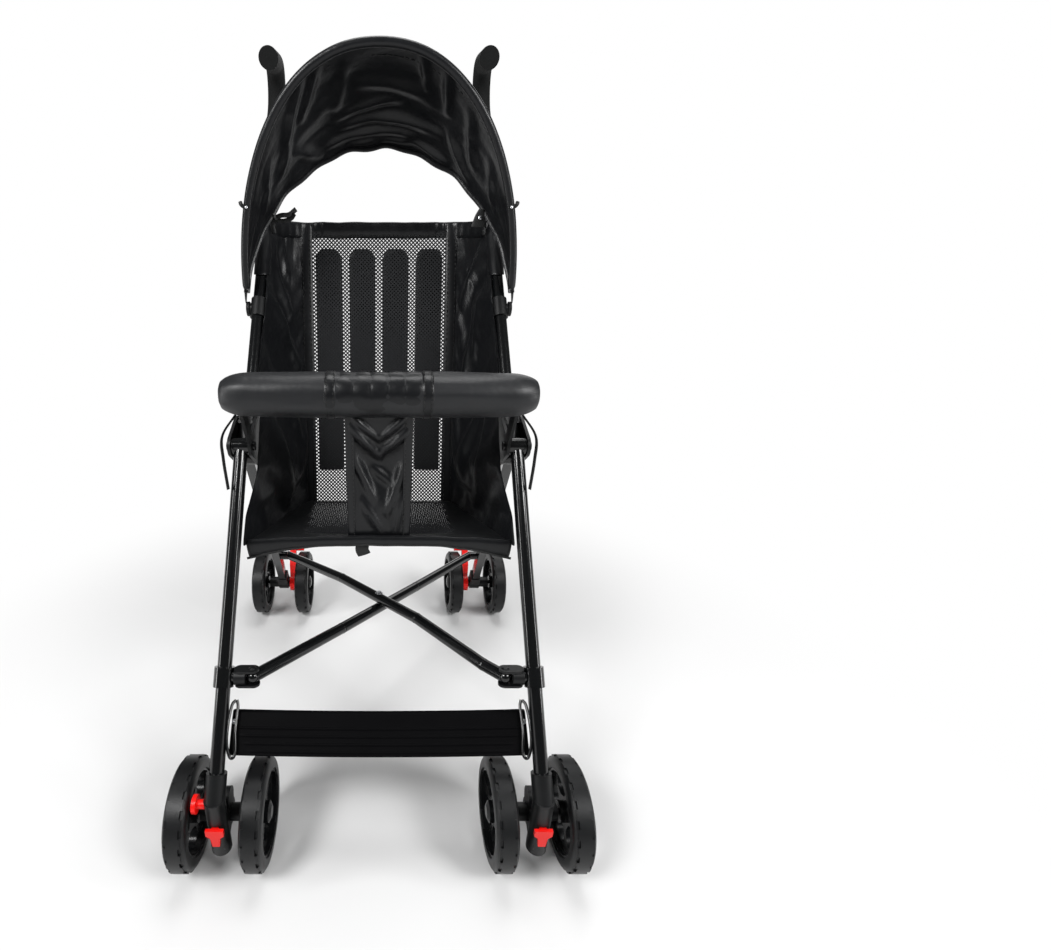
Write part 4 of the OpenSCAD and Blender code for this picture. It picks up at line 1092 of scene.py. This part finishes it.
class STROLLER_OT_bumper(bpy.types.Operator):
    """Builds the two padded halves of the bumper, the pleated band over their gap and the end straps"""

    bl_idname = "stroller.bumper"
    bl_label = "Bumper"

    def execute(self, context):
        for tag, side in SIDES.items():
            self.pad(tag, side)
            self.end_strap(tag, side)
        self.band()
        return {"FINISHED"}

    def round_rod(self, x, r, w):
        """Point round the bumper's middle line."""
        return Vector((x, PAD_MIDDLE.y + r * math.cos(w), PAD_MIDDLE.z + r * math.sin(w)))

    def roll_radius(self, x):
        """Radius of the roll at a distance from the middle: drawn in at the band, crowned, rounded at the end."""
        drawn_in, round_end, blunt = 2.2 * MM, 34 * MM, 0.38
        t = (x - PAD_LOW.x) / (PAD_HIGH.x - PAD_LOW.x)
        crown = PAD_RADIUS - drawn_in * (1 - math.sin(math.pi * min(1, 0.25 + 0.75 * t)))
        rest = PAD_HIGH.x - x
        if rest < round_end:
            arc = math.sqrt(max(0.0, 1 - ((round_end - rest) / round_end) ** 2))
            crown *= mix(arc, min(1, rest / (3 * MM)), blunt)
        return max(crown, 0.4 * MM)

    def pad(self, tag, side):
        """One padded half: a crowned roll with soft creases along it and a seam at the back."""
        crease, seam_depth, seam_angle, seam_width = 0.05, 1.4 * MM, 0.35, 0.06

        def at(t, w):
            x = mix(PAD_LOW.x, PAD_HIGH.x, 1 - (1 - t) ** 1.35)
            r = self.roll_radius(x)
            spot = Vector((x * 9 + 4 * side, math.cos(w) * 1.6, math.sin(w) * 1.6 + 2 * side))
            seam = seam_depth * math.exp(-((w - seam_angle) / seam_width) ** 2) * min(1, r / (10 * MM))
            return self.round_rod(side * x, r * (1 + crease * noise.fractal(spot, 1.0, 2.0, 3)) - seam, w)

        pad = capped(grid_piece(f"bumper_roll_{tag}", hoops(72, 48, at), closed=True))
        settle(pad, "bumper", f"bumper_{tag}", "bumper_cloth", None, (f"bumper_pad_{tag}",))
        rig.padded(pad, fill=0.8)

    def band(self):
        """Band round the middle of the roll, gathered into pleats between two bound edges."""
        k = sizes()
        half, tape, depth = k.bumper_band / 2, 13 * MM, 1.6 * MM
        tape_lift, tape_crown, pleat_height, wander = 0.5 * MM, 0.6 * MM, 1.1 * MM, 0.6 * MM

        def at(t, w):
            x = mix(-half, half, t)
            inside = half - abs(x)
            lift = PAD_RADIUS - 1 * MM
            if inside < tape:
                lift += tape_lift + tape_crown * math.sin(math.pi * inside / tape)
            else:
                phase = (x + half - tape) / (2 * (half - tape)) * (k.pleats + 1)
                gather = max(0.0, math.sin(w - 0.5)) ** 0.8
                lift += gather * pleat_height * (abs(math.sin(math.pi * phase)) ** 0.6 - 0.6)
                lift += wander * noise.noise(Vector((x * 40, math.cos(w) * 2, math.sin(w) * 2)))
            return self.round_rod(x, lift, w)

        points = hoops(96, 64, at)
        band = thicken(outward(grid_piece("bumper_band", points, closed=True)), depth)
        with_seat(band, "seat", "bumper_cloth")
        going = []
        for tag, side in SIDES.items():
            for n, x in enumerate((half - 2.5 * MM, half - tape + 2.5 * MM)):
                ring = [self.round_rod(side * x, PAD_RADIUS + 0.9 * MM, 2 * math.pi * j / 90) for j in range(91)]
                row = stitches(f"bumper_stitch_{tag}_{n + 1}", ring, (side, 0, 0), 5 * MM)
                going.append(with_seat(row, "tape", "bumper_cloth"))
        declare(band, points, "gathered", ["bumper_roll_l", "bumper_roll_r"], going, closed=True)

    def end_strap(self, tag, side):
        """Narrow tape from the bumper's end to the front leg."""
        low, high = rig.box(f"bumper_strap_{tag}")
        inner, outer = sorted(abs(x) for x in (low.x, high.x))
        mid_y = (low.y + high.y) / 2
        knots = [
            (inner + 2 * MM, high.y - 2 * MM, high.z - 1 * MM),
            (outer - 4 * MM, mid_y, mix(low.z, high.z, 0.72)),
            (outer - 2 * MM, mid_y, mix(low.z, high.z, 0.4)),
            (outer - 6 * MM, low.y + 2 * MM, low.z + 1 * MM),
        ]
        path = smooth_path([mirrored(p, side) for p in knots], 10)
        strap = sweep(f"bumper_tape_{tag}", path, oval(1 * MM, 4.2 * MM, 12), up=(side, 0, 0))
        settle(strap, "tape", f"side_{tag}", "bumper_cloth", None, (f"bumper_strap_{tag}",))


class STROLLER_OT_hood(bpy.types.Operator):
    """Builds the hood's sheet, its bow channel, gathered rear edge, seams, hooks, tab and ties"""

    bl_idname = "stroller.hood"
    bl_label = "Hood"
    # Distance of the cloth inside the hood's outline
    CLEAR = 1.2 * MM
    # Folds of the sheet over the arch (u 0 to 1), from the bow (0) to the rear edge (1)
    FOLDS = (
        (0.385, 0.06, 0.315, 0.42, 0.05, 5), (0.35, 0.04, 0.27, 0.4, 0.05, 5), (0.3, 0.22, 0.24, 0.75, 0.06, 5),
        (0.39, 0.64, 0.56, 0.5, 0.045, 5), (0.4, 0.73, 0.66, 0.67, 0.045, 6), (0.36, 0.86, 0.6, 0.81, 0.035, 5),
        (0.45, 0.36, 0.62, 0.42, 0.05, 4), (0.58, 0.04, 0.6, 0.36, 0.04, 5), (0.635, 0.05, 0.655, 0.46, 0.045, 6),
        (0.7, 0.18, 0.745, 0.7, 0.06, 5), (0.66, 0.55, 0.74, 0.92, 0.05, 5), (0.56, 0.87, 0.68, 0.92, 0.035, 4),
        (0.28, 0.58, 0.36, 0.95, 0.05, 5), (0.44, 0.16, 0.4, 0.55, 0.06, 4), (0.22, 0.3, 0.17, 0.8, 0.06, 4),
        (0.78, 0.3, 0.83, 0.8, 0.06, 4), (0.5, 0.94, 0.58, 0.9, 0.03, 3), (0.42, 0.95, 0.5, 0.91, 0.03, 3),
    )

    def execute(self, context):
        cloth, points = self.sheet()
        going = self.channel() + self.rear_edge() + self.hooks() + self.ring_tab() + self.ties()
        declare(cloth, points, "stretched", ["hood_bow", "hood_hub_l", "hood_hub_r"], going)
        return {"FINISHED"}

    def reach(self, tilt):
        """Reach of the hood's middle at an angle, between its front bow and its rear edge."""
        k = sizes()
        front = (HOOD_HIGH.z - HUB.z) / math.sin(k.hood_front_angle)
        rear = (HOOD_HIGH.y - HUB.y) / math.cos(k.hood_rear_angle)
        return mix(front, rear, (k.hood_front_angle - tilt) / (k.hood_front_angle - k.hood_rear_angle))

    def point(self, u, tilt, inset=0.0):
        """Point of the arch: u runs from the left pivot to the right one."""
        k = sizes()
        ahead = (tilt - k.hood_rear_angle) / (k.hood_front_angle - k.hood_rear_angle)
        squared = lambda x: abs(x) ** (2 / mix(k.hood_rear_square, k.hood_front_square, ahead))
        c = math.cos(math.pi * u)
        r = k.hood_start + (self.reach(tilt) - inset - k.hood_start) * squared(math.sin(math.pi * u))
        x = -math.copysign(squared(c) * (HOOD_HIGH.x - inset), c)
        return Vector((x, HUB.y + r * math.cos(tilt), HUB.z + r * math.sin(tilt)))

    def even(self, u):
        """Spreads the points of the arch evenly along its length."""
        return 0.5 - 0.5 * math.copysign(abs(1 - 2 * u) ** 1.25, 1 - 2 * u)

    def edge(self, margin, count, tilt, inset):
        """Points along the arch at an angle, with a margin left at both ends; inset is a function of u."""
        shares = (self.even(margin + (1 - 2 * margin) * j / count) for j in range(count + 1))
        return [self.point(u, tilt, inset(u)) for u in shares]

    def gather(self, u, t):
        """How far the elastic draws the sheet in near the rear edge."""
        start, long_wave, short_wave = 0.72, 1.4 * MM, 1.6 * MM
        drawn = max(0.0, (t - start) / (1 - start)) ** 2 * math.sin(math.pi * u)
        return drawn * (short_wave * math.sin(u * 70) + long_wave * math.sin(u * 41 + 1.0))

    def with_hood(self, piece, key, replaced=(), slot="hood_cloth"):
        """A piece of the hood: it rides on the hood and narrows with the fold."""
        return settle(piece, key, "hood", slot, ((0, HUB.y, HUB.z), sizes().fold_keep + 0.04), replaced)

    def sheet(self):
        """One sheet from the front bow to the rear edge, slack between them."""
        k = sizes()
        droop, wander = 4 * MM, 5 * MM

        def at(t, across):
            u = self.even(across)
            free = math.sin(math.pi * t) * math.sin(math.pi * u) ** 0.7
            wave = noise.fractal(Vector((u * 5.0 + t * 1.2, t * 2.4 - u * 1.3, 3.7)), 1.0, 2.0, 3)
            slack = free * (droop + wander * wave) + creased(u, t, self.FOLDS, 5.2) + self.gather(u, t)
            return self.point(u, mix(k.hood_front_angle, k.hood_rear_angle, t), self.CLEAR + slack)

        points = grid(44, 140, at)
        cloth = thicken(grid_piece("hood_sheet", points), k.cloth)
        return self.with_hood(cloth, "hood", ("hood_cloth",)), points

    def channel(self):
        """Sewn channel round the front bow, with its rows of stitches inside and out."""
        front, radius, wide = sizes().hood_front_angle, 4.6 * MM, 5.8 * MM
        path = self.edge(0.012, 120, front, lambda u: radius)
        for p in path:
            p.y += 0.8 * MM * noise.noise(p * 30)
        tube = rounded(sweep("hood_bow_channel", path, oval(radius, wide, 12), up=(0, -1, 0)))
        made = [self.with_hood(tube, "hood")]
        for n, (inset, up) in enumerate(((2.4 * MM, (0, -1, 0)), (0.2 * MM, (0, 1, 0)))):
            seam = self.edge(0.03, 120, front - math.radians(4.2), lambda u: inset)
            made.append(self.with_hood(stitches(f"hood_seam_{n + 1}", seam, up), "tape"))
        return made

    def rear_edge(self):
        """Elastic hem of the rear edge, gathered in small scallops."""
        path = self.edge(0.02, 160, sizes().hood_rear_angle, lambda u: self.CLEAR + self.gather(u, 1.0))
        return [self.with_hood(sweep("hood_rear_hem", path, oval(2.6 * MM, 4.6 * MM, 10), up=(0, 1, 0)), "hood")]

    def hooks(self):
        """Small moulded hooks on the sides of the bow's hem, each with its rivet."""
        made = []
        for tag, side in SIDES.items():
            spot = self.point(0.5 + 0.375 * side, sizes().hood_front_angle)
            knots = near(spot, ((-7, -3.5, -4), (0, -4, -2), (3, -4, 0.5), (4, -3, 3.5)), side)
            hook = sweep(f"hood_hook_{tag}", smooth_path(knots, 5), oval(2.2 * MM, 2.6 * MM, 10), up=(0, -1, 0))
            head = near(spot, [(-4, -6, -3)], side)[0]
            dot = rivet(f"hood_hook_rivet_{tag}", head, (0, -1, 0.2), 1.9 * MM)
            made += [self.with_hood(hook, "plastic", slot="black_plastic"),
                     self.with_hood(dot, "steel", slot="bright_metal")]
        return made

    def ring_tab(self):
        """Triangular tab with an eyelet at the right rear corner."""
        corner = self.point(0.8, sizes().hood_rear_angle)
        *knots, head = near(corner, ((-7, -3, 3), (-9, -3, -7), (-10, -4, -20), (-9, -5.4, -8)))
        path = smooth_path(knots, 8)
        wider = [mix(0.45, 1.25, n / (len(path) - 1)) for n in range(len(path))]
        tab = sweep("hood_tab", path, oval(9 * MM, 1.3 * MM, 14), up=(1, 0, 0), taller=wider)
        eye = rivet("hood_tab_eyelet", head, (0, -1, 0.1), 3 * MM)
        return [self.with_hood(tab, "tape"), self.with_hood(eye, "steel", slot="bright_metal")]

    def ties(self):
        """Ribbons that tie the left rear corner to the push tube, with their knot."""
        knot = near(self.point(0.2, sizes().hood_rear_angle), [(4, -2, -8)])[0]
        tails = (
            ((0, 0, 0), (10, -4, 3), (22, -6, 4), (32, -4, 11)),
            ((0, 0, -2), (12, -2, -4), (24, -5, -1), (30, -8, 5)),
            ((0, 0, 0), (-3, 1, -6), (-4, 1, -12), (-2, -1, -20)),
        )
        made = []
        for n, offsets in enumerate(tails):
            path = smooth_path(near(knot, offsets), 8)
            ribbon = sweep(f"hood_tie_l_{n + 1}", path, oval(0.7 * MM, 3.2 * MM, 8), up=(0, -1, 0))
            made.append(self.with_hood(ribbon, "tape"))
        bend = smooth_path(near(knot, ((0, 0, 4), (0, 0, 0), (3, -1, -4))), 5)
        made.append(self.with_hood(sweep("hood_knot_l", bend, oval(3.4 * MM, 4.2 * MM, 10)), "tape"))
        return made


class STROLLER_OT_footrest(bpy.types.Operator):
    """Builds the footrest's strip with its welts and the wire hooks at its ends"""

    bl_idname = "stroller.footrest"
    bl_label = "Footrest"
    # Height of each welt, and how far it runs to the sides
    WELTS = ((0.4, 0.94), (0.57, 0.91), (0.74, 0.88), (0.9, 0.86))
    # Wire hook: distance past the strip's end in mm, share of its height, and lift from it in mm
    HOOK = ((-5, 1.2, 5), (-7, 1.02, 4.5), (-7, 0.5, 5.5), (-9, 0.03, 4.5), (-4, -0.05, 5.5), (1, 0.22, 8.5),
            (2, 0.62, 9.5), (0, 1.06, 8), (-4, 1.19, 6))

    def execute(self, context):
        half = REST_HIGH.x
        low = Vector((0, REST_LOW.y + 2 * MM, REST_LOW.z + 1 * MM))
        high = Vector((0, REST_HIGH.y - 1 * MM, REST_HIGH.z - 3 * MM))
        along = (high - low).normalized()
        face = Vector((0, -along.z, along.y))
        depth, sag, welt_height, welt_width = 2.4 * MM, 3.5 * MM, 1.3 * MM, 0.016
        lip_depth, lip_share, sway_height = 3 * MM, 0.08, 1.2 * MM
        wire_radius, rivet_radius = 1.9 * MM, 3.2 * MM

        def at(s, across):
            u = 2 * across - 1
            droop = sag * (1 - u * u)
            welt = sum(welt_height * math.exp(-((s - w) / welt_width) ** 2) for w, end in self.WELTS if abs(u) < end)
            lip = lip_depth * max(0.0, 1 - s / lip_share) ** 2
            sway = sway_height * noise.noise(Vector((u * 2.2, s * 1.3, 6.1)))
            p = low + (high - low) * (1 - s) + face * (welt - lip + sway)
            return Vector((u * half, p.y, p.z - droop))

        points = grid(56, 60, at)
        strip = thicken(grid_piece("footrest_strip", points), depth)
        squashed = ((-half, REST_LOW.y, REST_LOW.z), sizes().fold_keep)
        settle(strip, "sheet", "front_leg_l", "footrest_sheet", squashed, ("footrest",))
        declare(strip, points, "stretched", ["footrest_wire_l", "footrest_wire_r"])
        for tag, side in SIDES.items():

            def spot(past, share, lift):
                return Vector((side * (half + past * MM), 0, 0)) + low.lerp(high, share) + face * lift * MM

            path = smooth_path([spot(*knot) for knot in self.HOOK], 8)
            wire = sweep(f"footrest_wire_{tag}", path, oval(wire_radius, wire_radius, 10), up=(0, 1, 0))
            settle(wire, "coat", f"front_leg_{tag}", "tube")
            pin = rivet(f"footrest_rivet_{tag}", spot(-4, 0.72, 3), face, rivet_radius)
            settle(pin, "steel", f"front_leg_{tag}", "bright_metal")
        return {"FINISHED"}


class STROLLER_OT_stage(bpy.types.Operator):
    """Sets the floor, the soft lights, the pale surroundings and the camera"""

    bl_idname = "stroller.stage"
    bl_label = "Stage"

    def execute(self, context):
        self.floor()
        self.lights(context.scene)
        self.camera(context.scene)
        context.scene.view_settings.view_transform = "Standard"
        return {"FINISHED"}

    def floor(self):
        """Pale floor that keeps the shadow near the object and fades to white further out."""
        bpy.ops.object.select_all(action="DESELECT")
        bpy.ops.mesh.primitive_plane_add(size=14, location=(0, 0, 0))
        plane = bpy.context.active_object
        plane.name = "studio_floor"
        found, tree, shader, where = blank_material("studio_floor")
        near_radius, far_radius = 0.35, 1.0
        feed(tree, shader, {"Base Color": linear(hues().floor), "Roughness": 0.9})
        away = add(tree, "ShaderNodeVectorMath", {0: where}, operation="LENGTH")
        span = {"Value": away.outputs["Value"], "From Min": near_radius, "From Max": far_radius}
        fade = add(tree, "ShaderNodeMapRange", span, interpolation_type="SMOOTHSTEP")
        seen = rays(tree, "Camera", "Glossy", "Transmission")
        faded = add(tree, "ShaderNodeMath", {0: seen, 1: fade.outputs["Result"]}, operation="MULTIPLY").outputs[0]
        white = add(tree, "ShaderNodeEmission", {"Strength": 1.0}).outputs[0]
        blend = add(tree, "ShaderNodeMixShader", {0: faded, 1: shader.outputs["BSDF"], 2: white}).outputs[0]
        feed(tree, tree.nodes["Material Output"], {"Surface": blend})
        plane.data.materials.append(found)
        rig.stage(plane)

    def lights(self, scene):
        """Soft boxes above and beside the object, each with its place, width, height and power, and a white world."""
        boxes = (
            ("key_box", (-1.3, -1.4, 2.2), 0.7, 0.7, 44),
            ("fill_box", (1.5, -1.3, 1.9), 0.7, 0.7, 32),
            ("top_box", (0.1, 0.5, 2.7), 1.2, 1.2, 28),
            ("rear_box", (0.6, 1.9, 1.7), 1.4, 1.4, 12),
            ("left_strip", (-1.5, -0.6, 0.9), 0.16, 1.6, 10),
            ("right_strip", (1.5, -0.6, 0.9), 0.16, 1.6, 10),
        )
        aim = Vector((0, 0, 0.45))
        for name, spot, size, tall, power in boxes:
            bpy.ops.object.select_all(action="DESELECT")
            bpy.ops.object.light_add(type="AREA", location=spot)
            lamp = bpy.context.active_object
            lamp.name = name
            lamp.data.shape = "RECTANGLE"
            lamp.data.size, lamp.data.size_y = size, tall
            lamp.data.energy = power
            lamp.rotation_euler = (aim - Vector(spot)).to_track_quat("-Z", "Y").to_euler()
        world = bpy.data.worlds.new("pale_studio")
        scene.world = world
        world.use_nodes = True
        tree = world.node_tree
        strength = between(tree, rays(tree, "Camera", "Transmission"), 0.1, 1.0)
        feed(tree, tree.nodes["Background"], {"Color": (1, 1, 1, 1), "Strength": strength})

    def camera(self, scene):
        """Camera at the photograph's place: its focal length and middle point in pixels of the 1051 by 950 frame."""
        width_px, height_px = 1051, 950
        focal_px, middle_px = 545.8, (379.0, 501.2)
        stand, pitch_down = (0, -0.7626, 0.7155), 23.57
        bpy.ops.object.camera_add(location=stand)
        eye = bpy.context.active_object
        eye.name = "photo_camera"
        eye.rotation_euler = (math.radians(90 - pitch_down), 0, 0)
        eye.data.sensor_width = 36
        eye.data.lens = focal_px / width_px * eye.data.sensor_width
        eye.data.shift_x = (width_px / 2 - middle_px[0]) / width_px
        eye.data.shift_y = (middle_px[1] - height_px / 2) / width_px
        eye.data.clip_start = 0.02
        scene.camera = eye


STEPS = (
    STROLLER_OT_finishes,
    STROLLER_OT_back,
    STROLLER_OT_seat,
    STROLLER_OT_strap,
    STROLLER_OT_bumper,
    STROLLER_OT_hood,
    STROLLER_OT_footrest,
    STROLLER_OT_stage,
)


class STROLLER_PT_panel(bpy.types.Panel):
    """Lists the pieces and their sizes in the sidebar."""

    bl_idname = "STROLLER_PT_panel"
    bl_label = "Stroller"
    bl_space_type = "VIEW_3D"
    bl_region_type = "UI"
    bl_category = "Stroller"

    def draw(self, context):
        for step in STEPS:
            self.layout.operator(step.bl_idname)
        for group in (context.scene.stroller_sizes, context.scene.stroller_colours):
            for key in group.__annotations__:
                self.layout.prop(group, key)


CLASSES = (StrollerSizes, StrollerColours) + STEPS + (STROLLER_PT_panel,)


def register():
    for item in CLASSES:
        bpy.utils.register_class(item)
    bpy.types.Scene.stroller_sizes = PointerProperty(type=StrollerSizes)
    bpy.types.Scene.stroller_colours = PointerProperty(type=StrollerColours)


def unregister():
    del bpy.types.Scene.stroller_colours
    del bpy.types.Scene.stroller_sizes
    for item in reversed(CLASSES):
        bpy.utils.unregister_class(item)


def main():
    register()
    for step in STEPS:
        getattr(bpy.ops.stroller, step.bl_idname.split(".")[1])()
    with open("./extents.json", "w") as out:
        json.dump({"cad": CAD_BOX, "visual": [list(corner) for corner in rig.bounds()]}, out)


if __name__ == "__main__":
    main()
